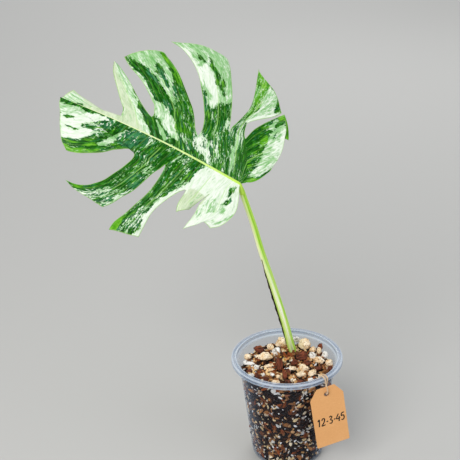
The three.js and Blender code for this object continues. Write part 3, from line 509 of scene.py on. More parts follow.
# Patches of either half, laid over its dark marbled ground: tissue, and an outline drawn where it
# shows from the camera, in pixels of the view's frame. onBlade carries it to the blade.
patches = {
    "upper": [
        # tip, upper half, and the narrow lobe beside it
        ("cream", [(58, 96), (64, 94), (74, 87), (86, 98), (102, 108), (121, 114), (124, 109), (118, 92),
            (112, 72), (112, 60), (115, 57), (122, 66), (130, 80), (136, 94), (141, 108), (147, 122),
            (151, 136), (146, 134), (130, 127), (110, 118.5), (95, 112), (80, 104)]),
        ("paleMint", [(62, 96), (74, 92), (82, 98.5), (84, 104), (76, 103.5), (66, 98)]),
        ("paleMint", [(113, 58), (120, 64), (129, 78), (136, 92), (139, 101), (142, 113), (148, 126),
            (149, 133), (143, 130), (137, 119), (134, 109), (128, 95), (122, 80), (116, 68)]),
        ("dark", [(133, 88), (139, 97), (146, 107), (152, 117), (160, 122), (163, 132), (168, 141),
            (158, 139.5), (150, 135), (146, 123), (140, 112), (137, 101)]),
        # fourth upper lobe
        ("mid", [(168, 62), (175, 70), (183, 82), (189, 95), (194, 110), (196, 120), (197, 134),
            (190, 140), (184, 150), (177, 144), (176, 130), (172, 114), (178, 108), (179, 95), (176, 84),
            (171, 74)]),
        ("mint", [(128, 55), (138, 50), (154, 48), (162, 50), (165, 57), (168, 64), (172, 76), (173, 92),
            (169, 86), (166, 76), (163, 67), (158, 62), (155, 66), (157, 72), (163, 80), (170, 90),
            (173, 99), (166, 92), (160, 84), (154, 75), (148, 68.5), (140, 62.5), (133, 57.5)]),
        ("dark", [(129, 58.5), (135, 60.5), (143, 65), (150, 71.5), (157, 79.5), (163, 88), (169, 96),
            (172, 106), (167, 105), (161, 100), (155, 92), (149, 86), (142, 77), (135, 68.5)]),
        ("blue", [(146, 68), (152, 72), (158, 79), (162, 86), (157, 84), (151, 79), (147, 74)]),
        ("blue", [(159, 68), (164, 73), (168, 83), (168, 90), (164, 84), (160, 77)]),
        ("lime", [(158, 48), (164, 49), (170, 57), (178, 68), (184, 80), (184, 86), (179, 80), (173, 70),
            (167, 63), (162, 55)]),
        ("paleMint", [(126, 60), (133, 67), (140, 75), (147, 85), (152, 95), (155, 101), (162, 105),
            (166, 111), (172, 119), (177, 130), (178, 140), (172, 137), (167, 131), (163, 124),
            (158, 117), (154, 112), (153, 103), (149, 95), (141, 83), (131, 70)]),
        ("mint", [(157, 121), (162, 130), (168, 140), (164, 140), (160, 133)]),
        ("blue", [(163, 99), (170, 103), (174, 112), (169, 113), (164, 107)]),
        ("mixed", [(172, 80), (176, 90), (179, 97), (176, 99), (173, 92)]),
        # third upper lobe
        ("mint", [(168, 38), (195, 43), (215, 48.5), (230, 56), (234, 78), (234, 93), (232, 101),
            (227, 104), (221, 101), (216, 104), (213, 109), (209, 104), (207, 95), (203, 86), (197, 76),
            (193, 66), (184, 50)]),
        ("white", [(199, 68), (206, 65), (210, 70), (214, 78), (218, 87), (218, 98), (214, 107),
            (211, 103), (210, 93), (206, 83)]),
        ("white", [(181, 46), (190, 51), (196, 61), (202, 74), (204, 84), (199, 80), (192, 66),
            (185, 54)]),
        ("mid", [(208, 54), (211, 57), (215, 67), (220, 77), (221, 88), (217, 84), (213, 74), (209, 64)]),
        ("mid", [(198, 52), (203, 57), (207, 64), (204, 64), (199, 57)]),
        ("mid", [(222, 77), (226, 83), (226, 97), (222, 101), (221, 90)]),
        ("blue", [(200, 83), (205, 91), (208, 103), (208, 113), (203, 113), (202, 98)]),
        ("mid", [(203, 113), (209, 110), (211, 122), (212, 134), (205, 130), (202, 124)]),
        ("flecked", [(226, 120), (231, 121), (231, 134), (226, 132)]),
        ("pale", [(191, 139), (197, 136), (201, 131), (206, 138), (209, 150), (211, 166), (206, 161),
            (203, 153), (197, 151), (191, 148)]),
        ("mixed", [(180, 132), (186, 134), (191, 139), (190, 149), (184, 150)]),
        ("mixed", [(210, 140), (218, 132), (220, 150), (214, 166)]),
        # second upper lobe
        ("limeFlecked", [(257, 64), (266, 76), (273, 86), (272, 93), (266, 98), (260, 106), (254, 111),
            (248, 114), (244, 118), (250, 108), (254, 97), (257, 84)]),
        ("paleMint", [(271, 87), (275, 92), (277, 100), (276, 107), (279, 112), (283, 112), (270, 118),
            (256, 121), (247, 123), (244, 122), (250, 117), (257, 110.5), (262, 104), (267, 95)]),
        ("mid", [(274, 90), (280, 100), (284, 110), (277, 112.5), (273.5, 111), (277, 104)]),
        ("white", [(243, 124), (250, 119), (262, 116), (275, 113), (284, 111), (278, 117), (262, 121)]),
        ("mixed", [(230, 129), (240, 120), (246, 119), (248, 122), (244, 127), (243, 140), (238, 144),
            (235, 136)]),
        ("mint", [(237, 134), (239, 136), (236, 150), (233, 166), (230, 174), (230, 163), (233, 150)]),
        ("dark", [(244, 141), (252, 130), (260, 124), (266, 122), (258, 136), (251, 150), (246, 162),
            (242, 176), (239, 176), (239, 160), (241, 148)]),
        # first upper lobe
        ("mid", [(258, 135), (265, 124), (275, 117), (287, 112), (287, 122), (280, 126), (272, 131),
            (268, 139), (264, 148), (259, 158), (252, 168), (245, 178), (243, 178), (248, 162),
            (252, 150)]),
        ("lime", [(261, 140), (267, 135), (269, 141), (265, 148), (261, 149)]),
        ("lime", [(276, 115.5), (285, 111), (288, 113), (287, 120), (281, 119)]),
        ("mint", [(269, 128.5), (274, 122), (281, 118.5), (280, 122), (275, 126), (272, 130)]),
        ("mint", [(270, 134), (277, 129), (284, 124), (284, 129), (277, 133), (272, 137)]),
        ("paleMint", [(269, 137), (274, 140), (280, 132), (284, 127), (288, 138), (287, 150), (282, 161),
            (276, 168), (268, 171), (262, 174), (256, 177.5), (251, 178.5), (255, 170), (260, 164),
            (262, 157), (265, 152), (268, 144)]),
        ("white", [(283, 130), (288, 137), (287, 150), (282, 160), (276, 166), (279, 156), (281, 145),
            (281, 136)]),
        ("lime", [(241, 184), (248, 180.5), (257, 178), (266, 173.5), (276, 166.5), (272, 176),
            (262, 183), (250, 186)]),
    ],
    "lower": [
        # tip, lower half
        ("mid", [(60, 138), (75, 141), (90, 138), (104, 134), (118, 133), (116, 142), (106, 150),
            (90, 152), (70, 150), (60, 142)]),
        ("mixed", [(81, 124), (88, 122.5), (100, 122), (108, 119.5), (118, 122.5), (121, 128), (110, 131),
            (104, 134.5), (96, 137), (90, 131), (84, 128)]),
        ("lime", [(61, 141), (70, 146), (85, 149), (100, 150), (92, 152.5), (76, 152), (66, 149),
            (61, 145)]),
        ("mint", [(96, 142.5), (104, 140.5), (116, 135), (125, 130.5), (127, 133), (120, 138),
            (110, 143.5), (100, 145)]),
        ("blue", [(115, 140), (122, 133), (132, 129), (141, 132), (149, 137), (150, 142), (142, 147),
            (133, 149), (122, 148)]),
        ("white", [(60, 112), (72, 113), (90, 111.5), (100, 115), (109, 119.5), (103, 121.8), (92, 122),
            (82, 121.5), (79, 125), (84, 129), (93, 131.5), (90, 134.5), (80, 138), (66, 137.5),
            (59, 135)]),
        ("paleMint", [(58, 100), (66, 102), (78, 107), (90, 111.5), (84, 114.5), (72, 114), (58, 112)]),
        ("dark", [(59, 96.5), (70, 98), (82, 103.5), (96, 110.5), (103, 115.5), (96, 113.5), (80, 109),
            (70, 105), (60, 101)]),
        ("dark", [(62, 115.5), (68, 114.5), (76, 116.5), (75, 119), (66, 119)]),
        ("mid", [(64, 123.5), (70, 125.5), (78, 127.5), (77, 130), (68, 128.5)]),
        # lower lobes
        ("white", [(242, 184), (230, 178), (218, 171.5), (208, 167), (202, 169.5), (196, 173), (190, 180),
            (183, 187), (184, 193), (178, 198.5), (174, 214), (190, 211), (200, 203), (190, 218),
            (180, 230), (204, 224), (211, 231), (231, 222), (241, 206), (243, 190)]),
        ("cream", [(186, 190), (180, 198), (174, 214), (192, 211), (206, 199), (200, 192), (192, 188)]),
        ("paleMint", [(207, 206), (214, 199), (221, 204), (227, 211), (220, 216), (212, 213),
            (205, 214)]),
        ("paleMint", [(211, 222), (222, 221), (231, 213), (234, 204), (236, 208), (230, 218), (218, 226),
            (211, 227)]),
        ("paleMint", [(193, 217), (200, 206), (207, 200), (212, 196), (206, 209), (198, 220)]),
        ("marbled", [(224, 196), (227, 190), (233, 186), (237, 187), (235, 192), (229, 197), (226, 198)]),
        ("mid", [(221, 205), (225, 200), (230, 197), (232, 200), (227, 205), (222, 207)]),
        ("white", [(192, 186), (180, 188), (170, 193), (158, 201), (151, 208), (145, 216), (140, 226),
            (136, 233), (130, 235), (138, 239), (144, 232), (148, 222), (152, 215), (160, 207),
            (170, 199), (188, 192)]),
        ("mixed", [(119, 224), (130, 215), (143, 206), (148, 208), (141, 219), (135, 231), (124, 233),
            (115, 230)]),
        ("lime", [(106, 229), (114, 219), (122, 213), (125, 216), (118, 226), (113, 231)]),
        ("lime", [(62, 176), (72, 181), (82, 184), (77, 188), (70, 184)]),
        ("dark", [(80, 182), (104, 177), (120, 167), (131, 157), (137, 152), (137, 162), (122, 174),
            (106, 184), (90, 188)]),
        ("mixed", [(84, 190), (98, 191), (108, 186), (113, 190), (106, 197), (98, 206), (90, 200)]),
        ("flecked", [(70, 185), (76, 186), (86, 193), (96, 201), (92, 201), (80, 194)]),
        ("mixed", [(98, 203), (108, 199), (122, 195), (131, 188), (134, 190), (124, 198), (112, 205),
            (102, 208)]),
        ("blue", [(123, 182), (133, 173), (141, 176), (137, 186), (127, 189)]),
        ("dark", [(152, 163), (165, 152), (178, 153), (176, 158), (164, 164), (158, 172)]),
    ],
}


leafTones = {   # each tissue's colours over its depth, and the rib's along its length
    "dark": [(0.36, "#063803"), (0.74, "#3f9624"), (0.54, "#145c07")],
    "lime": [(0.36, "#2f8206"), (0.64, "#6cb620")], "blueGreen": [(0.36, "#124e2b"), (0.64, "#3e8854")],
    "mint": [(0.34, "#6fb062"), (0.66, "#a4d097")], "white": [(0.34, "#d2e6ca"), (0.6, "#eef5ea")],
    "cream": [(0.34, "#b8cca4"), (0.6, "#d2dfc2")],
    "rib": [(0.0, "#bde656"), (0.25, "#d3ec92"), (0.6, "#dcecb4")],
}
leafLayers = [   # result, what is below, what lies over it and the share that covers it
    ("green", "dark", "lime", "lime"), ("blue", "blueGreen", "#86bf4e", "lime"),
    ("white", "white", "cream", "cream"), ("deep", "green", "blue", "innerPale"),
    ("bright", "mint", "white", "innerSoft"), ("pattern", "deep", "bright", "outerPale"),
    ("veined", "pattern", "#a5d773", "vein"), ("edged", "veined", "#9bcf62", "margin"),
    ("ribbed", "edged", "rib", "rib"), ("skin", "ribbed", "#9dbb86", "under"),
]
# what the leaf's material reads at each point
leafValues = ("outer", "inner", "lime", "veinDistance", "margin", "under", "rib", "ribShare")


def leafFrame():
    heading, rise, tilt = (math.radians(leaf[k]) for k in ("heading", "rise", "tilt"))
    along = np.array([math.cos(rise) * math.cos(heading), math.cos(rise) * math.sin(heading), math.sin(rise)])
    level = np.array([math.sin(heading), -math.cos(heading), 0])
    across = math.cos(tilt) * level + math.sin(tilt) * np.cross(level, along)
    return along, across, np.cross(across, along)


def midribPoint(s):
    share = s / leaf["length"]
    return np.stack([s, leaf["bow"] * np.sin(np.pi * share) + leaf["tipOffset"] * share], -1)


def softLine(points, places):
    # the outline with its corners cut, at these shares of its length
    line = np.array(points, float)
    if len(line) > 2:
        for _ in range(leaf["edgeSmoothing"]):
            quarter, threeQuarters = line[:-1] * 0.75 + line[1:] * 0.25, line[:-1] * 0.25 + line[1:] * 0.75
            between = np.stack([quarter, threeQuarters], 1).reshape(-1, 2)
            line = np.vstack([line[:1], between, line[-1:]])
    if len(line) == 1 or np.allclose(line[0], line[-1]):
        return np.repeat(line[:1], len(places), 0)
    reach = np.concatenate([[0], np.cumsum(np.linalg.norm(np.diff(line, axis=0), axis=1))])
    return np.stack([np.interp(places * reach[-1], reach, line[:, k]) for k in (0, 1)], 1)


def lobeSheet(lobe, feet):
    # a patch stretched between the midrib, the two edges and the outer end
    webRows, lobeRows = leaf["webRows"], leaf["lobeRows"]
    rows = webRows + lobeRows
    v = (np.arange(rows + 1) / rows)[:, None, None]
    u = ((feet - feet[0]) / (feet[-1] - feet[0]))
    sides = []
    for foot, edge in ((feet[0], lobe["near"]), (feet[-1], lobe["far"])):
        start = midribPoint(np.array(foot))
        out = ((np.arange(webRows) / webRows) ** leaf["rowCrowding"])[:, None]
        web = start + out * (np.array(edge[0], float) - start)
        sides.append(np.vstack([web, softLine(edge, np.linspace(0, 1, lobeRows + 1))])[:, None])
    near, far = sides
    base, end, u = midribPoint(feet)[None], softLine(lobe["end"], u)[None], u[None, :, None]
    corners = ((1 - u) * ((1 - v) * near[0] + v * near[-1]) + u * ((1 - v) * far[0] + v * far[-1]))
    return (1 - v) * base + v * end + (1 - u) * near + u * far - corners


def bladeLift(s, t):
    # raised sides, drooping tip and lobes
    rise = leaf["fold"] * (np.sqrt(t * t + leaf["foldWidth"] ** 2) - leaf["foldWidth"])
    return rise - leaf["sideDroop"] * t * t - leaf["tipDroop"] * s * s * np.where(s < 0, 2, 1)


def depthInside(points, corners):
    # millimetres from an outline, positive inside it
    following = np.roll(corners, -1, 0)
    side = following - corners
    away = points[:, None] - corners
    share = np.clip((away * side).sum(2) / (side ** 2).sum(1), 0, 1)[..., None]
    distance = np.linalg.norm(away - share * side, axis=2).min(1)
    spans = (corners[:, 1] > points[:, 1:]) != (following[:, 1] > points[:, 1:])
    crossing = corners[:, 0] + away[..., 1] * side[:, 0] / np.where(side[:, 1] == 0, 1, side[:, 1])
    inside = (spans & (points[:, :1] < crossing)).sum(1) % 2 == 1
    return np.where(inside, distance, -distance)


def onBlade(pixels):
    # where the sight lines through these pixels meet the curved blade, in millimetres of its own plane
    along, across, normal = leafFrame()
    fromMiddle = np.array(pixels, float).T - view["frame"] / 2
    aside, down = fromMiddle * view["sensor"] / view["lens"] / view["frame"]
    sight = np.stack([aside, -down, -np.ones(len(aside))], 1) @ np.array(cameraTurn().to_3x3()).T
    eye = np.array(view["place"]) / millimetre - leaf["junction"]
    lift = np.zeros(len(aside))
    for _ in range(view["aimSteps"]):
        spots = eye + ((lift - eye @ normal) / (sight @ normal))[:, None] * sight
        lift = bladeLift(spots @ along, spots @ across)
    return np.stack([spots @ along, spots @ across], 1)


def tissueOf(half, places):
    # the half's patches laid over each other, their outlines pushed about by soft noise
    drift = np.array([[noise.noise(Vector((x / 12, y / 12, k))) + 0.6 * noise.noise(Vector((x / 4, y / 4, k)))
                       for k in (3, 8)] for x, y in places])
    moved = places + leaf["patchDrift"] * drift
    values = np.tile(np.array(tissue["marbled"]), (len(places), 1))
    for kind, outline in patches[half]:
        depth = depthInside(moved, onBlade(outline))
        share = blend(-leaf["patchEdge"], leaf["patchEdge"], depth)[:, None]
        values = values * (1 - share) + np.array(tissue[kind]) * share
    return values


def leafMaterial():
    # monstera leaf, living: a smooth waxed skin over chimeric tissue. White, mint and greens meet in
    # hard ragged edges that run out along the veins, and the veins press fine grooves into the gloss
    material, tree = newMaterial("waxy marbled monstera leaf")
    flow = addNode(tree, "UVMap", uv_map="flow")   # mm across the veins, mm along them
    value = {name: addNode(tree, "Attribute", out="Fac", attribute_name=name) for name in leafValues}

    def streaks(width, length, shift, detail, roughness=0.62):
        # marks this wide and long in millimetres
        stretched = addNode(tree, "Mapping", {
            "Vector": flow, "Scale": (1 / width, 1 / length, 1), "Location": (shift, 2 * shift, 0)})
        return addNode(tree, "TexNoise", {
            "Vector": stretched, "Scale": 1, "Detail": detail, "Roughness": roughness}, noise_dimensions="2D")

    def veinWaves(width, length, distortion, detail):
        stretched = addNode(tree, "Mapping", {"Vector": flow, "Scale": (1 / width, 1 / length, 1)})
        return addNode(tree, "TexWave", {
            "Vector": stretched, "Scale": 1 / math.pi, "Distortion": distortion, "Detail": detail,
        }, out="Fac", bands_direction="X")

    # the drawn marks are about twice a real leaf's finest flecks, which would be lost at this size
    speck = streaks(1.0, 2.4, 5.1, 2)
    marks = {
        "outer": (streaks(6, 20, 0, 5), streaks(1.9, 7, 12.3, 3), speck),
        "inner": (streaks(5, 18, 31.7, 5), streaks(2.2, 8, 22.3, 3), streaks(1.2, 3.4, 9.7, 2)),
        "lime": (streaks(2.2, 14, 17, 4),),
    }
    # how far each of them moves an edge
    reaches = {"outer": (3.4, 2.6, 2.2), "inner": (3.4, 2.6, 2.2), "lime": (2.4,)}
    centre = sum(reaches["outer"]) / 2
    edge = {}
    for name in marks:
        edge[name] = value[name]
        for mark, reach in zip(marks[name], reaches[name]):
            edge[name] = addNode(tree, "Math", {0: mark, 1: reach, 2: edge[name]}, operation="MULTIPLY_ADD")
    depth = streaks(2.0, 9, 23, 5, 0.7)
    ranges = {   # source, from where to where it runs, and what it then gives
        "outerPale": (edge["outer"], centre - 0.1, centre + 0.1, 0, 1),
        "innerPale": (edge["inner"], centre - 0.35, centre + 0.35, 0, 1),
        "innerSoft": (edge["inner"], centre - 0.8, centre + 0.8, 0, 1),
        "lime": (edge["lime"], 1.35, 1.95, 0, 1),
        "cream": (value["lime"], 0.1, 0.7, 0, 1),
        "minorVein": (veinWaves(6.2, 90, 2.5, 1), 0.95, 1, 0, 0.16),
        "vein": (value["veinDistance"], 0.2, 0.8, 0.5, 0),
        "margin": (value["margin"], 0.25, 0.9, 0.6, 0),
        "gloss": (depth, 0.3, 0.7, 0.36, 0.5),
    }
    share = {name: addNode(tree, "MapRange", dict(enumerate(ends)), interpolation_type="SMOOTHSTEP")
             for name, ends in ranges.items()}
    onPale = addNode(tree, "Math", {0: share["outerPale"], 1: -0.8, 2: 1}, operation="MULTIPLY_ADD")
    minor = addNode(tree, "Math", {0: share["minorVein"], 1: onPale}, operation="MULTIPLY")
    share["vein"] = addNode(tree, "Math", {0: minor, 1: share["vein"]}, operation="MAXIMUM")
    share["under"] = addNode(tree, "Math", {0: value["under"], 1: 0.45}, operation="MULTIPLY")
    share["rib"] = value["rib"]
    colour = {name: addNode(tree, "ValToRGB", {"Fac": value["ribShare"] if name == "rib" else depth}, stops)
              for name, stops in leafTones.items()}
    for name, below, over, covering in leafLayers:
        colour[name] = addNode(tree, "Mix", {
            0: share[covering], 6: colour[below], 7: colour.get(over, over)}, data_type="RGBA")
    fineVeins = veinWaves(2.4, 60, 1.2, 2)
    relief = addNode(tree, "Math", {0: fineVeins, 1: 0.5, 2: speck}, operation="MULTIPLY_ADD")
    return closed(material, surface(tree, colour["skin"], share["gloss"], relief, 0.5, 0.12, 0.12, IOR=1.45))


def addLeaf():
    along, across, normal = leafFrame()
    farOff = leaf["farOff"]
    runs = zip(leaf["stations"][:-1], leaf["stations"][1:], leaf["columns"])
    stations = np.concatenate([np.linspace(a, b, n, endpoint=False) for a, b, n in runs] + [[leaf["length"]]])
    web, beyond = np.linspace(-1, 0, leaf["webRows"], endpoint=False), np.linspace(0, 1, leaf["lobeRows"] + 1)
    v = np.concatenate([web, beyond])[:, None]
    grids = []   # each sheet's points, lifts, streak places and values, and its half
    spread = {1: 0.0, -1: leaf["lowerSpread"]}
    for name, lobe in lobes.items():
        side = 1 if name.startswith("upper") else -1
        feet = stations[(stations > lobe["feet"][0] - 1e-6) & (stations < lobe["feet"][1] + 1e-6)]
        sheet = lobeSheet(lobe, feet)
        s, t = sheet[..., 0], sheet[..., 1]
        u = np.broadcast_to((feet - feet[0]) / (feet[-1] - feet[0]), s.shape)
        reach = np.cumsum(np.linalg.norm(np.diff(sheet, axis=0, prepend=sheet[:1]), axis=2), axis=0)
        width = np.linalg.norm(np.diff(sheet, axis=1, prepend=sheet[:, :1]), axis=2).sum(1)[:, None]
        streak = spread[side] + u * lobe["span"]
        fromVein = np.abs(u - 0.5) * width
        alongVein = blend(-1, -0.4, v) * (1 - 0.8 * blend(0.5, 1, v))
        lift = bladeLift(s, t) - leaf["camber"] * (2 * u - 1) ** 2 * np.clip(v, 0, 1) ** 2
        wave = np.sin(2 * np.pi * (s * leaf["rippleSlant"] + t) / leaf["rippleLength"])
        lift = lift + leaf["ripple"] * wave * blend(*leaf["rippleStart"], np.abs(t))
        lift = lift + leaf["quilt"] * np.cos(2 * np.pi * streak / leaf["quiltWidth"]) * blend(-1, 0, v)
        lift = lift - leaf["sideVeinGroove"] * np.exp(-(fromVein / leaf["sideVeinWidth"]) ** 2) * alongVein
        fromVein = np.where(alongVein > 0.02, fromVein + leaf["sideVeinWidth"] * (1 - alongVein), farOff)
        fromEdge = np.where(v > 0, np.minimum(np.minimum(u, 1 - u) * width, reach[-1] - reach), farOff)
        values = tissueOf("upper" if side > 0 else "lower", sheet.reshape(-1, 2))
        values = np.column_stack([values, fromVein.ravel(), fromEdge.ravel()])
        grids.append((sheet, lift, np.stack([streak, reach], -1), values, side))
        spread[side] += lobe["span"]
    # the folded tip of the first lobe, which stands a little proud of its margin
    rows, columns = (np.linspace(0, 1, count) for count in leaf["flapGrid"])
    down, over = np.meshgrid(rows, columns, indexing="ij")
    inner, outer = (softLine(leaf[k], down[:, 0])[:, None] for k in ("flapInner", "flapOuter"))
    sheet = (1 - over[..., None]) * inner + over[..., None] * outer
    lift = (bladeLift(*np.moveaxis(sheet, 2, 0)) - leaf["camber"]
            + leaf["flapProud"] * blend(0, 0.2, down) * (1 + np.sin(np.pi * over)))
    values = np.tile([*tissue["lime"], farOff, farOff], (over.size, 1))
    flow = np.stack([leaf["flapSpread"] + leaf["flapWidth"] * over, leaf["flapLength"] * down], -1)
    grids.append((sheet, lift, flow, values, 1))

    # points that sheets share become one, and each quad keeps its own place in the streaks
    places, flow = (np.concatenate([grid[k].reshape(-1, 2) for grid in grids]) for k in (0, 2))
    lifts, values = np.concatenate([grid[1].ravel() for grid in grids]), np.concatenate([g[3] for g in grids])
    _, first, same = np.unique(np.round(places, 3), axis=0, return_index=True, return_inverse=True)
    same = same.ravel()
    shared = np.zeros((len(first), values.shape[1]))
    np.add.at(shared, same, values)
    shared /= np.bincount(same)[:, None]
    flat, lift = places[first], lifts[first]
    middle = np.array(leaf["junction"]) + flat[:, :1] * along + flat[:, 1:] * across + lift[:, None] * normal
    half = leaf["thickness"] / 2 * normal
    faces, corners, count = [], [], 0
    for sheet, *_, side in grids:
        grid = np.arange(count, count + sheet[..., 0].size).reshape(sheet.shape[:2])
        count += grid.size
        a, b, c, d = (x.ravel() for x in (grid[:-1, :-1], grid[:-1, 1:], grid[1:, 1:], grid[1:, :-1]))
        for quad in np.stack([a, d, c, b] if side > 0 else [a, b, c, d], 1):
            ids = same[quad]
            kept = [k for k in range(4) if ids[k] != ids[k - 1]]
            if len(kept) >= 3 and len(set(ids[kept])) == len(kept):
                faces.append(tuple(int(ids[k]) for k in kept))
                corners.append([int(quad[k]) for k in kept])
    edges = {(a, b): True for face in faces for a, b in zip(face, face[1:] + face[:1])}
    walls = [(a, b) for a, b in edges if (b, a) not in edges]
    size = len(flat)
    allFaces = faces + [tuple(i + size for i in reversed(f)) for f in faces]
    allFaces += [(b, a, a + size, b + size) for a, b in walls]
    someCorner = np.zeros(size, int)
    someCorner[same] = np.arange(len(same))
    maps = [flow[c] for c in corners] + [flow[c[::-1]] for c in corners]
    maps += [flow[[someCorner[b], someCorner[a], someCorner[a], someCorner[b]]] for a, b in walls]

    # the midrib: a pale rib that stands out a little above and more below, and starts in the stalk
    ribFeet = np.linspace(1, leaf["length"] - 3, leaf["ribSteps"])
    ribFlat = midribPoint(ribFeet)
    share = ribFeet / leaf["length"]
    radius = leaf["rib"][0] + (leaf["rib"][1] - leaf["rib"][0]) * share ** leaf["ribTaper"]
    line = (np.array(leaf["junction"]) + ribFlat[:, :1] * along + ribFlat[:, 1:] * across
            + (bladeLift(ribFlat[:, 0], ribFlat[:, 1]) - leaf["ribSunk"] * radius)[:, None] * normal)
    kneeLine = routeThrough(leaf["knee"] + [line[0], line[4]], leaf["kneeSpacing"])
    kneeLine = kneeLine[np.linalg.norm(kneeLine - line[0], axis=1) > 0.5]
    kneeLine = kneeLine[(kneeLine - line[0]) @ along < 0]
    bulge = np.linspace(leaf["kneeRadius"], radius[0], len(kneeLine))
    share = np.repeat(np.concatenate([np.zeros(len(kneeLine)), share]), leaf["ribSides"])
    ribPoints, ribFaces = tube(np.vstack([kneeLine, line]), np.concatenate([bulge, radius]), leaf["ribSides"],
                               normal)
    maps += [np.stack([np.full(len(f), leaf["ribSpread"]), share[list(f)] * leaf["length"]], 1)
             for f in ribFaces]
    ribValues = np.tile([*leaf["ribTissue"], farOff, farOff], (len(ribPoints), 1))
    blade = np.concatenate([middle + half, middle - half])
    points, allFaces = joined([(blade, allFaces), (ribPoints, ribFaces)])
    shared = np.concatenate([shared, shared, ribValues])
    under, rib = (np.repeat(levels, [size, size, len(ribPoints)]) for levels in ([0.0, 1, 0], [0.0, 0, 1]))
    ribShare = np.concatenate([np.zeros(2 * size), share])
    piece = addPiece("leaf", points, allFaces, leafMaterial(), "variegated_leaf", replaced=["leaf_blade"])
    for name, column in zip(leafValues, [*shared.T, under, rib, ribShare]):
        addValues(piece, name, column)
    addCornerMap(piece, "flow", np.concatenate(maps))
    print(f"leaf, {len(allFaces)} faces")


addLeaf()

# Petiole and its dry sheath

petiole = {
    "route": [
        (9.2, 26.3, 89), (8.6, 26, 95), (4.7, 22.5, 112.7), (0.2, 18, 134.6), (-8.7, 10.5, 171),
        (-16.4, 4, 200.6), (-22.6, -1, 223.3), (-30.2, -7.5, 255.4), (-37.9, -11.4, 283),
        (-41.2, -12.4, 293.5), (-44.6, -12, 298.1), (-49.1, -10.8, 300.7),
    ],
    "baseRadius": 3.9, "topRadius": 2.5, "taper": 0.8, "sides": 64, "spacing": 0.8,
    "groove": 0.55, "grooveAngle": 8, "grooveWidth": 15, "grooveEnds": (0.02, 0.20),
    "shadeEnds": (0.01, 0.15), "ridges": 0.015, "ridgeCount": 9, "ridgeTwist": 40, "oval": 0.04,
}
sheath = {"from": 0.09, "to": 0.6, "width": 3.1, "thickness": 0.3, "gap": -0.5, "curl": 0.5, "lean": -92,
          "topLean": 52, "columns": 5}
petioleTones = {   # round the stalk, from its back by the left: lime, cream at the front left, lime again
    # the paler lime band on the right side, at 0.56 here and from 0.6 below, is a painted highlight
    "upper": [(0.0, "#8cc22a"), (1.0, "#8cc22a"), (0.15, "#a6d63c"), (0.19, "#d8f27a"), (0.225, "#fbffd2"),
              (0.375, "#fbffcc"), (0.405, "#e0f79a"), (0.435, "#b4ea50"), (0.475, "#8ccb2a"),
              (0.56, "#c4f45c")],
    # lower down the cream narrows to a white stripe in green
    "lower": [(0.0, "#86c030"), (1.0, "#86c030"), (0.24, "#a8d848"), (0.32, "#d0f276"), (0.355, "#fafed8"),
              (0.46, "#fffff2"), (0.49, "#dcf896"), (0.535, "#aae444"), (0.6, "#bdf258"), (0.68, "#d8fc7e")],
}


def petioleMaterial():
    # petiole, living: smooth and faintly glossy. A cream sector runs its length beside lime green, and
    # both are drawn out in fine lines with the fibres. A paler band in the lime on its right side is a
    # painted highlight
    material, tree = newMaterial("streaked monstera stalk")
    flow = addNode(tree, "UVMap", uv_map="flow")   # degrees round, mm along
    around, height = (addNode(tree, "SeparateXYZ", {"Vector": flow}, out=axis) for axis in "XY")
    lines, slow = (addNode(tree, "TexNoise", {
        "Vector": addNode(tree, "Mapping", {"Vector": flow, "Scale": (1 / degrees, 1 / length, 1)}),
        "Scale": 1, "Detail": detail, "Roughness": roughness}, noise_dimensions="2D")
        for degrees, length, detail, roughness in ((9, 30, 4, 0.6), (40, 60, 2, 0.5)))
    wandering = addNode(tree, "Math", {0: lines, 1: 30, 2: around}, operation="MULTIPLY_ADD")
    turn = addNode(tree, "MapRange", {"Value": wandering, "From Min": -134, "From Max": 226})
    colour, lower = (addNode(tree, "ValToRGB", {"Fac": turn}, stops) for stops in petioleTones.values())
    groove = addNode(tree, "Attribute", out="Fac", attribute_name="groove")
    # the lower colours, paler stretches, the greener knee and the shaded groove
    for over, *ends in ((lower, height, 150, 75, 0, 1), ("#d8f880", slow, 0.46, 0.6, 0, 0.6),
                        ("#b2e048", height, 206, 220, 0, 0.6), ("#3c8010", groove, 0, 1, 0, 1)):
        share = addNode(tree, "MapRange", dict(enumerate(ends)))
        colour = addNode(tree, "Mix", {0: share, 6: colour, 7: over}, data_type="RGBA")
    return closed(material, surface(tree, colour, 0.38, lines, 0.4, 0.2, 0.3, IOR=1.45))


def petioleRadius(share):
    return petiole["baseRadius"] + (petiole["topRadius"] - petiole["baseRadius"]) * share ** petiole["taper"]


def petioleFrames(line):
    # right and front at each point: front faces -Y as nearly as the stalk allows
    tangents = unit(np.gradient(line, axis=0))
    right = np.array([1.0, 0, 0]) - tangents * tangents[:, :1]
    right = unit(right)
    return right, np.cross(right, tangents)


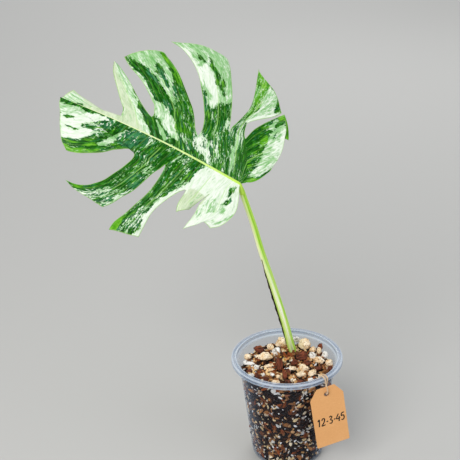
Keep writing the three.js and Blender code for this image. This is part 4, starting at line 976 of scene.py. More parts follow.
def addPetiole():
    line = routeThrough(petiole["route"], petiole["spacing"])
    right, front = petioleFrames(line)
    share = np.linspace(0, 1, len(line))[:, None]
    sides = petiole["sides"]
    angles = np.linspace(-180, 180, sides, endpoint=False)[None]   # 0 at the front, positive to the right
    inGroove = np.exp(-((angles - petiole["grooveAngle"]) / petiole["grooveWidth"]) ** 2)
    radius = petioleRadius(share) * (1 - petiole["oval"] * np.cos(np.radians(2 * angles)))
    ridged = np.cos(np.radians(petiole["ridgeCount"] * angles + petiole["ridgeTwist"] * share))
    radius = radius * (1 + petiole["ridges"] * ridged)
    radius = radius - petiole["groove"] * (1 - blend(*petiole["grooveEnds"], share)) * inGroove
    lean = np.radians(angles)[..., None]
    points = line[:, None] + radius[..., None] * (
        np.sin(lean) * right[:, None] + np.cos(lean) * front[:, None])
    faces = ringFaces(len(line), sides)
    piece = addPiece("petiole_stalk", points.reshape(-1, 3), faces, petioleMaterial(), "petiole",
                     replaced=["petiole"])
    reach = np.linspace(0, (len(line) - 1) * petiole["spacing"], len(line))
    corners = []
    for face in faces:
        columns = [i % sides for i in face]
        wraps = len(face) == 4 and max(columns) - min(columns) > 2
        corners += [(angles[0, column] + (360 if wraps and column == 0 else 0), reach[i // sides])
                    for i, column in zip(face, columns)]
    addCornerMap(piece, "flow", corners)
    addValues(piece, "groove", (inGroove * (1 - blend(*petiole["shadeEnds"], share))).ravel())
    print("petiole")


def addSheath():
    # a thin strip that hugs the stalk, its edge torn and its top curling away
    line = routeThrough(petiole["route"], petiole["spacing"])
    chosen = np.arange(round(sheath["from"] * len(line)), round(sheath["to"] * len(line)))
    right, front = (side[chosen] for side in petioleFrames(line))
    share = np.linspace(0, 1, len(chosen))
    width = sheath["width"] * (0.25 + 0.75 * np.sin(np.pi * np.clip(share * 1.05, 0, 1)) ** 0.6)
    width = width * (1 + 0.1 * np.sin(share * 47) + 0.06 * np.sin(share * 101 + 1))   # torn, uneven edge
    away = petioleRadius(chosen / len(line)) + sheath["gap"] + sheath["curl"] * blend(0.9, 1, share)
    lean = sheath["lean"] + 5 * np.sin(share * 9) + sheath["topLean"] * blend(0.84, 1, share)
    lean = np.radians(lean)[:, None]
    outward = np.sin(lean) * right + np.cos(lean) * front
    sideways = np.cos(lean) * right - np.sin(lean) * front
    rows = [line[chosen] + outward * (away + 0.5 * width - 0.54 * width * k * k)[:, None]
            + sideways * (k * width)[:, None] + outward * (k * 0.5 * width)[:, None]
            for k in np.linspace(-0.5, 0.5, sheath["columns"])]
    middle = np.stack(rows, 1)
    skin = unit(np.cross(np.gradient(middle, axis=0), np.gradient(middle, axis=1))) * sheath["thickness"] / 2
    ring = np.concatenate([middle + skin, (middle - skin)[:, ::-1]], 1)
    # leaf sheath, dried: papery, nearly black between its paler brown fibres
    finish = mottled("dried leaf sheath", 4, 4, [(0.36, "#140b06"), (0.76, "#7a5430"), (0.54, "#35200f")],
                     0.8, 0.7, 0.2, stretch=(4, 4, 1))
    addPiece("sheath_dry_edge", ring.reshape(-1, 3), ringFaces(len(chosen), 2 * len(rows)), finish,
             "dry_sheath", replaced=["dry_sheath"])
    print("dry sheath")


addPetiole()
addSheath()

# Pot: thin clear cup with a stacking step, a shoulder and a folded-over rim

pot = {
    "height": 110, "rimRadius": 55, "throatRadius": 50, "baseRadius": 36, "neckRadius": 47.7,
    "neckHeight": 103.5, "wall": 1, "corner": 3, "cornerLean": 0.4, "stepHeight": 92, "stepDepth": 0.7,
    "skirtDrop": 4.5, "drainHoles": 6, "drainRadius": 2.5, "drainRing": 22, "drainSides": 28, "segments": 168,
}
potStep = pot["baseRadius"] + (pot["neckRadius"] - pot["baseRadius"]) * pot["stepHeight"] / pot["neckHeight"]
lowerStep, upperStep = potStep - pot["stepDepth"] / 2, potStep + pot["stepDepth"] / 2
innerBase = pot["baseRadius"] + pot["cornerLean"] - pot["wall"]


def clearPlasticMaterial():
    # polypropylene, thermoformed: thin and clear on the wall, cool and milky where it is folded double
    # at the rim and where the view grazes it, with a painted highlight along its rolled edges
    material, tree = newMaterial("thermoformed clear polypropylene")
    place = addNode(tree, "TexCoord", out="Object")
    height = addNode(tree, "SeparateXYZ", {"Vector": place}, out="Z")
    level = addNode(tree, "VectorMath", {0: place, 1: (1, 1, 0)}, operation="MULTIPLY")
    radius = addNode(tree, "VectorMath", {0: level}, out="Value", operation="LENGTH")

    # painted highlight: the rolled edges of the rim and the skirt's foot are painted pale and milkier,
    # as if they gathered light from inside the sheet and glowed
    paintedHighlightRings = []
    for source, where, reach in (
            (radius, pot["rimRadius"] - 0.3, 1.9), (radius, pot["throatRadius"] + 0.3, 1.4),
            (height, pot["height"] - pot["skirtDrop"], 1.5)):
        away = addNode(tree, "Math", {0: source, 1: where * millimetre}, operation="SUBTRACT")
        size = addNode(tree, "Math", {0: away}, operation="ABSOLUTE")
        paintedHighlightRings.append(addNode(tree, "MapRange", {0: size, 1: 0, 2: reach * millimetre, 3: 1, 4: 0},
                             interpolation_type="SMOOTHSTEP"))
    edges = addNode(tree, "Math", {0: paintedHighlightRings[0], 1: paintedHighlightRings[1]}, operation="MAXIMUM")
    onRim = addNode(tree, "MapRange", {
        0: height, 1: (pot["height"] - 1.6) * millimetre, 2: (pot["height"] - 0.8) * millimetre})
    lit = addNode(tree, "Math", {0: edges, 1: onRim}, operation="MULTIPLY")
    paintedRimHighlight = addNode(tree, "Math", {0: lit, 1: paintedHighlightRings[2]}, operation="MAXIMUM")
    tint = addNode(tree, "Mix", {0: paintedRimHighlight, 6: "#a2b6d0", 7: "#dce8f6"}, data_type="RGBA")
    waves = addNode(tree, "TexNoise", {"Vector": place, "Scale": perMetre(14), "Detail": 2})
    plastic = surface(tree, tint, 0.3, waves, 0.12, 0.5, IOR=1.49)
    clear = addNode(tree, "BsdfTransparent", {"Color": "#f5f6f8"})
    grazing = addNode(tree, "LayerWeight", {"Blend": 0.5}, out="Facing")
    share = addNode(tree, "MapRange", {0: grazing, 1: 0.45, 2: 1, 3: 0.012, 4: 0.27},
                    interpolation_type="SMOOTHSTEP")
    folded = addNode(tree, "MapRange", {
        0: height, 1: (pot["neckHeight"] + 0.8) * millimetre, 2: (pot["neckHeight"] + 2.4) * millimetre,
        4: 0.25}, interpolation_type="SMOOTHSTEP")
    # the painted highlight also makes those edges more milky
    thick = addNode(tree, "Math", {0: paintedRimHighlight, 1: 0.3, 2: folded}, operation="MULTIPLY_ADD")
    milky = addNode(tree, "Math", {0: share, 1: thick}, operation="ADD")
    return closed(material, addNode(tree, "MixShader", {0: milky, 1: clear, 2: plastic}))


def potProfile():
    height, rim, throat, wall = (pot[k] for k in ("height", "rimRadius", "throatRadius", "wall"))
    base, corner, neck, neckHeight = (pot[k] for k in ("baseRadius", "corner", "neckRadius", "neckHeight"))
    skirtFoot, step = height - pot["skirtDrop"], pot["stepHeight"]
    wallLine = [(base + pot["cornerLean"] + (lowerStep - base - pot["cornerLean"]) * t,
                 corner + (step - corner) * t) for t in np.linspace(0, 1, 14)]
    outline = [(0, 0), (base * 0.3, 0), (base - corner, 0)]
    outline += rounded((base - corner, 0), (base, 0), (base + pot["cornerLean"], corner), 6)[1:-1]
    outline += wallLine
    outline += rounded((upperStep - 0.1, step + 1.2), (upperStep, step + 1.5), (upperStep + 0.1, step + 2.4),
                       3)
    outline += rounded((neck, neckHeight - 0.4), (neck, neckHeight), (neck + 0.8, neckHeight + 0.5), 4)
    outline += rounded((throat + wall - 0.5, neckHeight + 1.6), (throat + wall, neckHeight + 2),
                       (throat + wall, neckHeight + 2.7), 4)
    outline += rounded((throat + wall, height - wall - 0.5), (throat + wall, height - wall),
                       (throat + wall + 0.5, height - wall), 4)
    outline += rounded((rim - wall - 0.8, height - wall - 0.3), (rim - wall, height - wall - 0.4),
                       (rim - wall, height - wall - 1.2), 4)
    outline += [(rim - wall, skirtFoot + 0.3), (rim - wall + 0.3, skirtFoot), (rim - 0.3, skirtFoot),
                (rim, skirtFoot + 0.3)]
    outline += rounded((rim, height - 1.2), (rim, height), (rim - 1.4, height), 7)
    outline += rounded((throat + 0.6, height), (throat, height), (throat, height - 0.6), 4)
    outline += [(throat, neckHeight + 2.4), (neck - wall, neckHeight + 0.6), (upperStep - wall, step + 1.7),
                (lowerStep - wall, step + 0.2), (innerBase, corner)]
    outline += rounded((innerBase, corner), (base - wall, wall), (base - corner, wall), 6)[1:]
    outline += [(base * 0.3, wall), (0, wall)]
    return outline


def addPot():
    points, faces = turned(potProfile(), pot["segments"])
    piece = addPiece("pot_clear", points, faces, clearPlasticMaterial(), "clear_plastic", replaced=["pot"])
    drills = []
    for i in range(pot["drainHoles"]):
        angle = 2 * math.pi * (i + 0.5) / pot["drainHoles"]
        centre = np.array([pot["drainRing"] * math.cos(angle), pot["drainRing"] * math.sin(angle), 0])
        drills.append(tube(centre + [[0, 0, -2 * pot["wall"]], [0, 0, 2 * pot["wall"]]], pot["drainRadius"],
                           pot["drainSides"], (1, 0, 0)))
    drillPoints, drillFaces = joined(drills)
    mesh = bpy.data.meshes.new("drills")
    mesh.from_pydata((drillPoints * millimetre).tolist(), [], drillFaces)
    drill = newObject("drills", mesh)
    boolean = piece.modifiers.new("drain holes", "BOOLEAN")
    boolean.object, boolean.operation, boolean.solver = drill, "DIFFERENCE", "EXACT"
    drilled = finalMesh(piece)
    piece.modifiers.clear()
    piece.data = drilled
    bpy.data.objects.remove(drill)
    print(f"pot, {len(drilled.polygons)} faces")


addPot()

# Potting mix: a dark crumbly body with small chips and grit pressed against the wall and lying on top

mix = {
    "edgeHeight": 95, "mound": 2.5, "rearRise": 0.06, "gap": 0.3, "backing": 1.3,
    "wallRows": 70, "topRings": 34, "segments": 190, "crumbScale": 0.42, "wallCrumbs": 0.55, "topCrumbs": 0.8,
    "wallChips": 2400, "topChips": 1150, "topSpacing": 2.7, "underStones": 0.8, "tries": 60,
    "facets": 7, "facetDepth": (0.5, 0.85), "pebbleFacets": 12, "pebbleFacetDepth": (0.6, 0.9),
    "clumping": 1.8, "clumpSize": 8, "wallSink": 0.12, "wallDepth": 0.7, "wallSmall": 1.4, "topSmall": 1.3,
    "topLift": (-0.2, 1.4), "sizeLift": 1.6, "topTilt": 0.4, "bodySink": 0.9, "seed": 11,
}
# larger pieces pressed against the wall: degrees round, height, size, how tall for its width, colour
wallPebbles = [
    (-111, 95.5, 6.4, 1.0, "#f4f0e8"), (-131, 90, 8.6, 0.7, "#c9ac8c"), (-98, 100.5, 8, 0.6, "#ecc99c"),
    (-83, 75, 7.5, 1.4, "#e2bd92"), (-124, 64, 6, 0.8, "#cbb79c"), (-71, 43, 6.4, 0.8, "#d9dcdf"),
    (-94, 93, 6.5, 0.4, "#a5694a"), (-127, 52, 4.5, 1.0, "#a8502a"), (-86, 46, 5, 0.8, "#dba874"),
    (-70, 93, 3.6, 1.2, "#f6f2ea"), (-117, 32, 4.8, 1.1, "#f0ece2"), (20, 84, 7.4, 0.8, "#ead0a6"),
    (75, 62, 8, 0.7, "#f3efe6"), (140, 88, 7, 0.9, "#b06c44"), (165, 40, 7.8, 0.7, "#e6c596"),
    (-10, 50, 6, 1.0, "#f2ede4"), (48, 36, 6.6, 0.8, "#8c4f2e"), (110, 28, 6.2, 0.9, "#ecd2a8"),
]
# share at the wall and on top, colours, smallest and largest size in millimetres, and how long and how
# flat each kind of chip is
chipKinds = {
    "humus": ((0.30, 0.2), ["#1a0f09", "#2c1a10", "#412817", "#1c140e"], (1.4, 5.2), (1.4, 0.6)),
    "bark": ((0.35, 0.44), ["#4a2a16", "#744524", "#9e6a3e", "#30190d", "#86451f", "#bd8450"], (1.6, 6.4),
             (2.0, 0.45)),
    "pumice": ((0.20, 0.27), ["#f4d9a8", "#e6c08c", "#fdeccc", "#d8a468", "#f0d29c"], (1.4, 5.6),
               (1.5, 0.75)),
    "perlite": ((0.15, 0.09), ["#f6f3ee", "#ffffff", "#e4e0d8"], (1.1, 4.0), (1.5, 0.7)),
}


def isLoose(node):
    # one of the stones, flakes or grains that lie on the mix
    return node.split("_")[0] in ("pumice", "perlite", "bark", "feed")


def wallRadius(z):
    # inside face of the pot at this height
    slope = (lowerStep - pot["wall"] - innerBase) / (pot["stepHeight"] - pot["corner"])
    low = innerBase + slope * (z - pot["corner"])
    return low + (upperStep - lowerStep) * blend(pot["stepHeight"], pot["stepHeight"] + 1.7, z)


def mixHeight(x, y):
    top = upperStep - pot["wall"]
    return (mix["edgeHeight"] + mix["mound"] * (1 - (x * x + y * y) / top ** 2)
            + mix["rearRise"] * np.maximum(0, y))


def soilMaterial():
    # bark potting mix, composted: near-black damp humus, broken up by coarse dull crumbs
    material, tree = newMaterial("composted bark potting mix")
    place = addNode(tree, "TexCoord", out="Object")
    crumbs = addNode(tree, "TexVoronoi", {"Vector": place, "Scale": perMetre(2.2)}, out="Distance")
    fine = addNode(tree, "TexNoise", {"Vector": place, "Scale": perMetre(1.1), "Detail": 5})
    colour = addNode(tree, "ValToRGB", {"Fac": fine}, [
        (0.36, "#080403"), (0.74, "#5b3720"), (0.54, "#1d110a")])
    relief = addNode(tree, "Math", {0: crumbs, 1: 0.7, 2: fine}, operation="MULTIPLY_ADD")
    return closed(material, surface(tree, colour, 0.9, relief, 1, 0.8, 0.3))


def chipMaterial():
    # sieved chips of bark, pumice and perlite: each its own dull colour, mottled and rough
    material, tree = newMaterial("sieved bark and mineral chips")
    tone = addNode(tree, "Attribute", out="Color", attribute_name="tone")
    place = addNode(tree, "TexCoord", out="Object")
    mottle = addNode(tree, "TexNoise", {"Vector": place, "Scale": perMetre(0.9), "Detail": 4})
    share = addNode(tree, "MapRange", {0: mottle, 1: 0.5, 2: 0.8, 4: 0.42})
    colour = addNode(tree, "Mix", {0: share, 6: tone, 7: "#3a2a20"}, data_type="RGBA")
    return closed(material, surface(tree, colour, 0.88, mottle, 0.9, 0.3, 0.3))


def ballMesh(subdivisions):
    shape = bmesh.new()
    bmesh.ops.create_icosphere(shape, subdivisions=subdivisions, radius=1)
    points = np.array([v.co[:] for v in shape.verts])
    faces = [[v.index for v in f.verts] for f in shape.faces]
    shape.free()
    return points, faces


def chiselled(points, facets, depth, rng):
    # flat broken faces: whatever reaches past a few random planes is pressed back onto them
    points = points.copy()
    for normal in unit(rng.normal(size=(facets, 3))):
        reach = points @ normal
        limit = reach.max() * rng.uniform(*depth)
        points -= np.maximum(reach - limit, 0)[:, None] * normal
    return points


def addChips(name, places, normals, sizes, where, rng, material):
    # one small broken chip at each place, its flat side towards the normal; like kinds lie together
    ballPoints, ballFaces = ballMesh(2)
    kinds = list(chipKinds.values())
    chosen = []
    for x, y, z in places / mix["clumpSize"]:
        crowd = np.array([noise.noise(Vector((x, y, z + 40 * k))) for k in range(len(kinds))])
        weights = np.clip(1 + mix["clumping"] * crowd, 0.05, None) * [k[0][where] for k in kinds]
        chosen.append(rng.choice(len(kinds), p=weights / weights.sum()))
    parts, tones = [], []
    for place, normal, size, kind in zip(places, normals, sizes, chosen):
        _, colours, (least, most), (long, flat) = kinds[kind]
        size = least + (most - least) * size
        axes = size / 2 * np.array([long, 1 / math.sqrt(long), flat]) * rng.uniform(0.85, 1.15, 3)
        turn = rng.uniform(0, 2 * np.pi)
        side = unit(np.cross(normal, [0.3, 0.5, 0.81]))
        xAxis = math.cos(turn) * side + math.sin(turn) * np.cross(normal, side)
        yAxis = np.cross(normal, xAxis)
        xAxis = unit(xAxis + rng.normal(0, 0.25) * normal)
        body = chiselled(ballPoints, mix["facets"], mix["facetDepth"], rng)
        body = body * rng.uniform(0.9, 1.0, (len(ballPoints), 1)) * axes
        outward = body[:, :1] * xAxis + body[:, 1:2] * yAxis + body[:, 2:] * normal
        parts.append((place - normal * body[:, 2].max() + outward, ballFaces))
        shade = np.array(linearColour(colours[rng.integers(len(colours))]))
        shade[:3] *= rng.uniform(0.75, 1.2)
        tones.append(np.tile(shade, (len(ballPoints), 1)))
    piece = addPiece(name, *joined(parts), material, "bark_mix", smooth=False)
    addValues(piece, "tone", np.concatenate(tones), "FLOAT_COLOR")


def addMix():
    rng = np.random.default_rng(mix["seed"])
    floor, corner, rim = pot["wall"] + mix["gap"], pot["corner"], mix["edgeHeight"]
    edge = upperStep - pot["wall"] - mix["backing"]
    profile = [(0, floor), (innerBase * 0.5, floor), (innerBase - corner, floor)]
    heights = np.linspace(corner + 1, rim - 1, mix["wallRows"])
    profile += [(wallRadius(z) - mix["backing"], z) for z in heights]
    profile += [(edge * (1 - i / mix["topRings"]), rim - 0.6) for i in range(1, mix["topRings"])]
    points, faces = turned(profile + [(0, rim - 0.6)], mix["segments"])
    onTop = points[:, 2] > rim - 0.7
    points[onTop, 2] = mixHeight(points[onTop, 0], points[onTop, 1]) - mix["bodySink"]
    rough = np.array([noise.noise(Vector(p * mix["crumbScale"])) for p in points])
    outward = points * [1, 1, 0]
    outward /= np.maximum(np.linalg.norm(outward, axis=1, keepdims=True), 1e-6)
    side = ~onTop & (points[:, 2] > corner)
    points[side] += outward[side] * (mix["wallCrumbs"] * rough[side])[:, None]
    points[onTop, 2] += mix["topCrumbs"] * rough[onTop]
    addPiece("potting_mix_body", points, faces, soilMaterial(), "bark_mix", replaced=["potting_mix"])
    chips = chipMaterial()
    z = corner + 1.5 + (rim - 1.5 - corner) * rng.uniform(0, 1, mix["wallChips"])
    angle = rng.uniform(0, 2 * np.pi, len(z))
    radius = wallRadius(z) - mix["wallSink"] - rng.uniform(0, mix["wallDepth"], len(z)) ** 2
    outward = np.stack([np.cos(angle), np.sin(angle), np.zeros(len(z))], 1)
    places = outward * radius[:, None] + np.stack([0 * z, 0 * z, z], 1)
    sizes = rng.random(len(z)) ** mix["wallSmall"]
    addChips("potting_mix_wall_chips", places, outward, sizes, 0, rng, chips)
    pebbles, tones = [], []
    ballPoints, ballFaces = ballMesh(3)
    for turn, height, size, tall, colour in wallPebbles:
        out = np.array([math.cos(math.radians(turn)), math.sin(math.radians(turn)), 0])
        body = chiselled(ballPoints, mix["pebbleFacets"], mix["pebbleFacetDepth"], rng)
        body = body * rng.uniform(0.96, 1.0, (len(ballPoints), 1))
        body = body * (size / 2, size * tall / 2, size * 0.3)
        body = body[:, :1] * np.array([-out[1], out[0], 0]) + body[:, 1:2] * (0, 0, 1) + body[:, 2:] * out
        foot = out * (wallRadius(height) - 0.15) + (0, 0, height)
        pebbles.append((foot + body - out * (body @ out).max(), ballFaces))
        tones.append(np.tile(linearColour(colour), (len(ballPoints), 1)))
    piece = addPiece("potting_mix_pebbles", *joined(pebbles), chips, "bark_mix", smooth=False)
    addValues(piece, "tone", np.concatenate(tones), "FLOAT_COLOR")
    # the largest on top keep their distance, and smaller ones fill in between them
    boxes = [[np.array(c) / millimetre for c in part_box(n)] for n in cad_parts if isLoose(n)]
    within = mix["underStones"]
    spots, sizes = [], []
    for _ in range(mix["tries"] * mix["topChips"]):
        size = (1 - len(spots) / mix["topChips"]) ** mix["topSmall"]
        radius, angle = (edge - 0.8) * math.sqrt(rng.random()), rng.uniform(0, 2 * np.pi)
        x, y = radius * math.cos(angle), radius * math.sin(angle)
        covered = any(low[0] + within < x < high[0] - within and low[1] + within < y < high[1] - within
                      for low, high in boxes)
        free = not spots or np.min(np.hypot(*(np.array(spots) - (x, y)).T)) > mix["topSpacing"] * size
        if free and not covered:
            spots.append((x, y))
            sizes.append(size)
        if len(spots) == mix["topChips"]:
            break
    (x, y), sizes = np.array(spots).T, np.array(sizes)
    lift = rng.uniform(*mix["topLift"], len(x)) + mix["sizeLift"] * sizes
    places = np.stack([x, y, mixHeight(x, y) + lift], 1)
    normals = unit(np.array([0, 0, 1.0]) + rng.normal(0, mix["topTilt"], (len(x), 3)))
    addChips("potting_mix_top_chips", places, normals, sizes, 1, rng, chips)
    print("potting mix")


addMix()

# Stones, bark flakes and feed grains: each CAD solid's place and size, with the real thing's surface

stone = {
    "voxel": {"pumice": 0.32, "perlite": 0.3, "bark": 0.26, "feed": 0.16},
    "facets": {"pumice": 11, "perlite": 10, "bark": 10}, "lumpSize": 4.2,
    "lumpDepth": {"pumice": 0.75, "perlite": 0.5}, "cellSize": {"pumice": 1.7, "perlite": 2.1},
    "cellDepth": 0.5, "pitDepth": 0.42, "ridgeSize": (5, 1.3, 0.9), "ridgeDepth": 0.38,
    "breakSize": (2.2, 2.2, 0.8), "breakDepth": 0.55,
    "facetDepth": {"pumice": (0.7, 0.92), "perlite": (0.66, 0.9), "bark": (0.55, 0.92)}, "seed": 21,
}


def mineralMaterial(name, colours, poreSize, poreShade):
    material, tree = newMaterial(name)
    place = addNode(tree, "TexCoord", out="Object")
    patch = addNode(tree, "TexNoise", {"Vector": place, "Scale": perMetre(5), "Detail": 5, "Roughness": 0.65})
    tint = addNode(tree, "ValToRGB", {"Fac": patch}, colours)
    # painted shade: pores and the pits pressed into the surface are painted darker, towards poreShade
    pores = addNode(tree, "TexVoronoi", {"Vector": place, "Scale": perMetre(poreSize)}, out="Distance")
    poreShadeShare = addNode(tree, "MapRange", {0: pores, 1: 0.12, 2: 0.3, 3: 0.55, 4: 0})
    pitShade = addNode(tree, "Attribute", out="Fac", attribute_name="pitShade")
    paintedShadeShare = addNode(tree, "Math", {0: poreShadeShare, 1: pitShade}, operation="MAXIMUM")
    colour = addNode(tree, "Mix", {0: paintedShadeShare, 6: tint, 7: poreShade}, data_type="RGBA")
    grain = addNode(tree, "TexNoise", {"Vector": place, "Scale": perMetre(0.5), "Detail": 4})
    return closed(material, surface(tree, colour, 0.93, grain, 0.9, 0.3, 0.25))


def barkMaterial():
    # pine bark, broken into flakes: red-brown layers with darker corky seams along the grain
    material, tree = newMaterial("broken pine bark")
    grain = addNode(tree, "Attribute", out="Vector", attribute_name="grain")
    layers = addNode(tree, "TexNoise", {
        "Vector": addNode(tree, "Mapping", {"Vector": grain, "Scale": (1 / 5, 1 / 1.1, 1 / 0.7)}),
        "Scale": 1, "Detail": 5, "Roughness": 0.6})
    colour = addNode(tree, "ValToRGB", {"Fac": layers}, [
        (0.3, "#24120a"), (0.8, "#b06c3c"), (0.46, "#522614"), (0.62, "#87452a")])
    return closed(material, surface(tree, colour, 0.8, layers, 0.9, 0.5, 0.35))


def fineCopy(node, voxel, soften):
    # the CAD solid's shape as an even fine mesh
    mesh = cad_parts[node].data.copy()
    source = bmesh.new()
    source.from_mesh(mesh)
    bmesh.ops.remove_doubles(source, verts=source.verts, dist=1e-6)
    source.to_mesh(mesh)
    source.free()
    helper = newObject("helper", mesh)
    if soften:
        helper.modifiers.new("soften", "SUBSURF").levels = soften
    remesh = helper.modifiers.new("even", "REMESH")
    remesh.mode, remesh.voxel_size = "VOXEL", voxel * millimetre
    made = finalMesh(helper)
    bpy.data.objects.remove(helper)
    return *pointsAndFaces(made), np.array([v.normal[:] for v in made.vertices])


def addStone(node, kind, material):
    points, faces, normals = fineCopy(node, stone["voxel"][kind], 0 if kind == "bark" else 1)
    low, high = (np.array(c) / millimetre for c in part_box(node))
    centre = points.mean(0)
    local = (points - centre) @ np.linalg.svd(points - centre, full_matrices=False)[2].T
    pits = np.zeros(len(points))
    if kind != "feed":
        rng = np.random.default_rng(stone["seed"] + int(node.split("_")[1]))
        points = centre + chiselled(points - centre, stone["facets"][kind], stone["facetDepth"][kind], rng)
    if kind == "bark":
        # ridges along the grain, and a ragged break
        ridges, ragged = (
            [octaves(Vector(p / size) + Vector(centre)) for p in local]
            for octaves, size in ((lambda place: noise.fractal(place, 1, 2, 3), stone["ridgeSize"]),
                                  (noise.noise, stone["breakSize"])))
        rise = stone["ridgeDepth"] * np.array(ridges) + stone["breakDepth"] * np.array(ragged)
        points = points + normals * rise[:, None]
    elif kind != "feed":
        lumps = np.array([noise.fractal(Vector(p) / stone["lumpSize"], 0.9, 2, 3) for p in points])
        cells = np.array([noise.voronoi(Vector(p) / stone["cellSize"][kind])[0][0] for p in points])
        if kind == "pumice":
            pits = 1 - blend(0.12, 0.4, cells)
            rise = stone["lumpDepth"][kind] * lumps - stone["pitDepth"] * pits
        else:
            rise = stone["lumpDepth"][kind] * lumps + stone["cellDepth"] * (0.5 - cells)
            pits = blend(0.55, 0.85, cells)
        points = points + normals * rise[:, None]
    fit = (high - low) / (points.max(0) - points.min(0))
    points = low + (points - points.min(0)) * fit
    name = node.replace("feed_grain", "coated_grain") if kind == "feed" else f"worn_{node}"
    slot = "feed_grain" if kind == "feed" else kind
    piece = addPiece(name, points, faces, material, slot, replaced=[node])
    if kind == "bark":
        addValues(piece, "grain", local + centre, "FLOAT_VECTOR")
    elif kind != "feed":
        # where the surface is pressed in, which the material paints darker as painted shade
        addValues(piece, "pitShade", pits)


def addStones():
    materials = {
        # pumice, washed: porous tan and cream rock, chalky, with painted shade dark in its pores and pits
        "pumice": mineralMaterial("washed tan pumice", [
            (0.3, "#d79c62"), (0.68, "#fff4e0"), (0.46, "#f6dcb4")], 1.3, "#7a5636"),
        # perlite, expanded: brittle white foam of glass, bright, with faint grey painted shade in its hollows
        "perlite": mineralMaterial("expanded perlite", [
            (0.3, "#e4e0d8"), (0.65, "#ffffff"), (0.5, "#f7f5f0")], 1.1, "#a8a096"),
        "bark": barkMaterial(),
        # feed grain, resin coated: a smooth yellow shell with a slight gloss and brown freckles
        "feed": mottled("resin coated feed grain", 0.7, 3, [
            (0.35, "#b9862a"), (0.6, "#e3b653"), (0.5, "#d8a53c")], 0.42, **{"Coat Weight": 0.2}),
    }
    for node in sorted(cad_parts):
        kind = node.split("_")[0]
        if kind in materials:
            addStone(node, kind, materials[kind])
    print("stones, bark and feed grains")


addStones()

# Card tag with handwritten digits

tag = {
    "width": 34, "height": 68, "topWidth": 18, "shoulder": 11, "thickness": 0.6, "holeDrop": 8,
    "holeRadius": 2.2, "hole": (34.4, -45.5, 93.8), "turn": 16, "swing": 8, "footRound": 1.1,
    "edgeRound": 0.12,
}
writing = {
    "text": "12-3-45", "height": 8.4, "pitch": 4.6, "dashPitch": 3.1, "pen": 1.3, "slant": 0.1,
    "flatness": 0.12, "start": (-14.0, -35.2),
    "strokes": {
        "1": [[(0.2, 0.76), (0.5, 1), (0.46, 0)]],
        "2": [[(0.1, 0.76), (0.3, 0.98), (0.62, 0.96), (0.72, 0.7), (0.46, 0.36), (0.08, 0.03),
               (0.86, 0.06)]],
        "3": [[(0.14, 0.9), (0.46, 1), (0.72, 0.82), (0.38, 0.54), (0.76, 0.34), (0.56, 0.02), (0.1, 0.08)]],
        "4": [[(0.5, 1), (0.08, 0.36), (0.9, 0.38)], [(0.68, 0.64), (0.62, -0.06)]],
        "5": [[(0.82, 0.98), (0.3, 0.95), (0.2, 0.58), (0.56, 0.62), (0.8, 0.34), (0.56, 0.02),
               (0.12, 0.06)]],
        "-": [[(0.12, 0.42), (0.5, 0.45)]],
    },
}


def tagPlace():
    place = Matrix.Translation(Vector(tag["hole"]) * millimetre)
    return (place @ Matrix.Rotation(math.radians(tag["turn"]), 4, "Z") @ Matrix.Rotation(math.pi / 2, 4, "X")
            @ Matrix.Rotation(math.radians(tag["swing"]), 4, "Z"))


def kraftMaterial():
    # kraft card, rolled from unbleached pulp: matt warm brown, with fine fibres and stray darker flecks
    material, tree = newMaterial("unbleached kraft card")
    place = addNode(tree, "TexCoord", out="Object")
    pulp = addNode(tree, "TexNoise", {
        "Vector": addNode(tree, "Mapping", {"Vector": place, "Scale": (1, 1, 2.6)}),
        "Scale": perMetre(1.6), "Detail": 6, "Roughness": 0.7})
    cloud = addNode(tree, "TexNoise", {"Vector": place, "Scale": perMetre(14), "Detail": 3})
    softCloud = addNode(tree, "MapRange", {0: cloud, 3: 0.42, 4: 0.58})
    both = addNode(tree, "Math", {0: pulp, 1: 0.6, 2: softCloud}, operation="MULTIPLY_ADD")
    colour = addNode(tree, "ValToRGB", {"Fac": both}, [(0.5, "#d99c62"), (1.0, "#f2bd84"), (0.8, "#e8ac70")])
    # the card is pressed darker round its punched hole
    hole = addNode(tree, "VectorMath", {0: place, 1: [c * millimetre for c in tag["hole"]]}, out="Value",
                   operation="DISTANCE")
    pressed = addNode(tree, "MapRange", {
        0: hole, 1: (tag["holeRadius"] + 0.1) * millimetre, 2: (tag["holeRadius"] + 1.0) * millimetre,
        3: 0.7, 4: 0})
    worn = addNode(tree, "Mix", {0: pressed, 6: colour, 7: "#9a6a42"}, data_type="RGBA")
    return closed(material, surface(tree, worn, 0.88, pulp, 0.35, 0.1, 0.25))


def curvePiece(name, curve, place, material, slot=None, replaced=()):
    # the mesh of a filled or rounded curve, at its place in the frame
    helper = newObject("helper", curve)
    mesh = finalMesh(helper)
    mesh.transform(place)
    bpy.data.objects.remove(helper)
    addPiece(name, *pointsAndFaces(mesh), material, slot, smooth=False, replaced=replaced)


def addSpline(curve, points, cyclic):
    spline = curve.splines.new("POLY")
    spline.points.add(len(points) - 1)
    for point, place in zip(spline.points, points):
        point.co = (place[0] * millimetre, place[1] * millimetre, 0, 1)
    spline.use_cyclic_u = cyclic


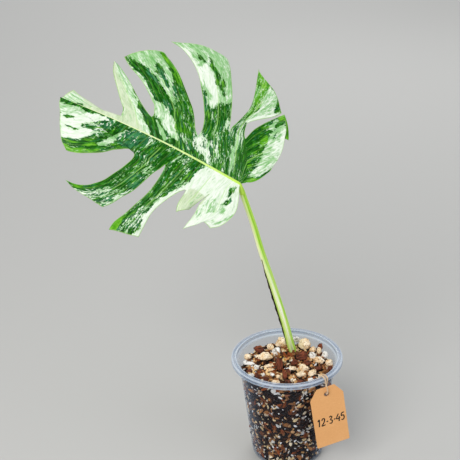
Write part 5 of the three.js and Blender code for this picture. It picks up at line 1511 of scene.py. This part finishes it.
def addTag():
    half, topHalf, top = tag["width"] / 2, tag["topWidth"] / 2, tag["holeDrop"]
    foot, shoulder, r = top - tag["height"], top - tag["shoulder"], tag["footRound"]
    inset = tag["edgeRound"]
    outline = rounded((-half, foot + r), (-half, foot), (-half + r, foot), 6)
    outline += rounded((half - r, foot), (half, foot), (half, foot + r), 6)
    outline += rounded((half, shoulder - 0.5), (half, shoulder), (half - 0.4, shoulder + 0.45), 4)
    outline += rounded((topHalf + 0.4, top - 0.45), (topHalf, top), (topHalf - 0.5, top), 4)
    outline += rounded((-topHalf + 0.5, top), (-topHalf, top), (-topHalf - 0.4, top - 0.45), 4)
    outline += rounded((-half + 0.4, shoulder + 0.45), (-half, shoulder), (-half, shoulder - 0.5), 4)
    middle = np.array([0, (top + foot) / 2])
    size = np.array([half, tag["height"] / 2])
    outline = [tuple(middle + (np.array(p) - middle) * (size - inset) / size) for p in outline]
    angles = np.linspace(0, 2 * np.pi, 40, endpoint=False)
    holeEdge = tag["holeRadius"] + inset
    hole = [(holeEdge * math.cos(a), holeEdge * math.sin(a)) for a in angles]
    card = bpy.data.curves.new("card", "CURVE")
    card.dimensions, card.fill_mode = "2D", "BOTH"
    card.extrude = (tag["thickness"] / 2 - inset) * millimetre
    card.bevel_depth, card.bevel_resolution = inset * millimetre, 2
    addSpline(card, outline, True)
    addSpline(card, hole, True)
    curvePiece("tag_card", card, tagPlace(), kraftMaterial(), "kraft_card", ["tag"])
    ink = bpy.data.curves.new("ink", "CURVE")
    ink.dimensions, ink.bevel_resolution, ink.use_fill_caps = "3D", 3, True
    ink.bevel_depth = writing["pen"] / 2 * millimetre
    x, y = writing["start"]
    for letter in writing["text"]:
        for stroke in writing["strokes"][letter]:
            corners = [(x + (px + writing["slant"] * py) * writing["pitch"], y + py * writing["height"], 0)
                       for px, py in stroke]
            addSpline(ink, routeThrough(corners, 0.25)[:, :2], False)
        x += writing["dashPitch"] if letter == "-" else writing["pitch"]
    onFace = Matrix.Translation((0, 0, tag["thickness"] / 2 * millimetre))
    flatten = onFace @ Matrix.Scale(writing["flatness"], 4, (0, 0, 1))
    # marker ink, dried into card: near-black and matt, a little uneven where the pen ran dry
    dryInk = mottled("dried marker ink", 1.5, 3, [(0.4, "#0f0b09"), (0.8, "#2a1d15")], 0.7, specular=0.3)
    curvePiece("tag_writing", ink, tagPlace() @ flatten, dryInk)
    print("tag")


addTag()

# The stem cutting and roots lie inside the mix, as the CAD has them

def finishHiddenNodes():
    # cut stem, healed: green-brown and ringed; aerial root, young: pale buff with a corky skin
    stemFinish = mottled("healed monstera stem", 2.5, 5, [(0.3, "#5c6a34"), (0.7, "#95a05a")], 0.75, 0.7, 0.4)
    rootFinish = mottled("corky monstera root", 1.2, 5, [(0.3, "#a58a62"), (0.7, "#dcc9a4")], 0.75, 0.7, 0.4)
    for name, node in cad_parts.items():
        if name == "stem_cutting" or name.startswith("root_"):
            node.data.materials.clear()
            node.data.materials.append(stemFinish if name == "stem_cutting" else rootFinish)
    print("stem and roots")


finishHiddenNodes()
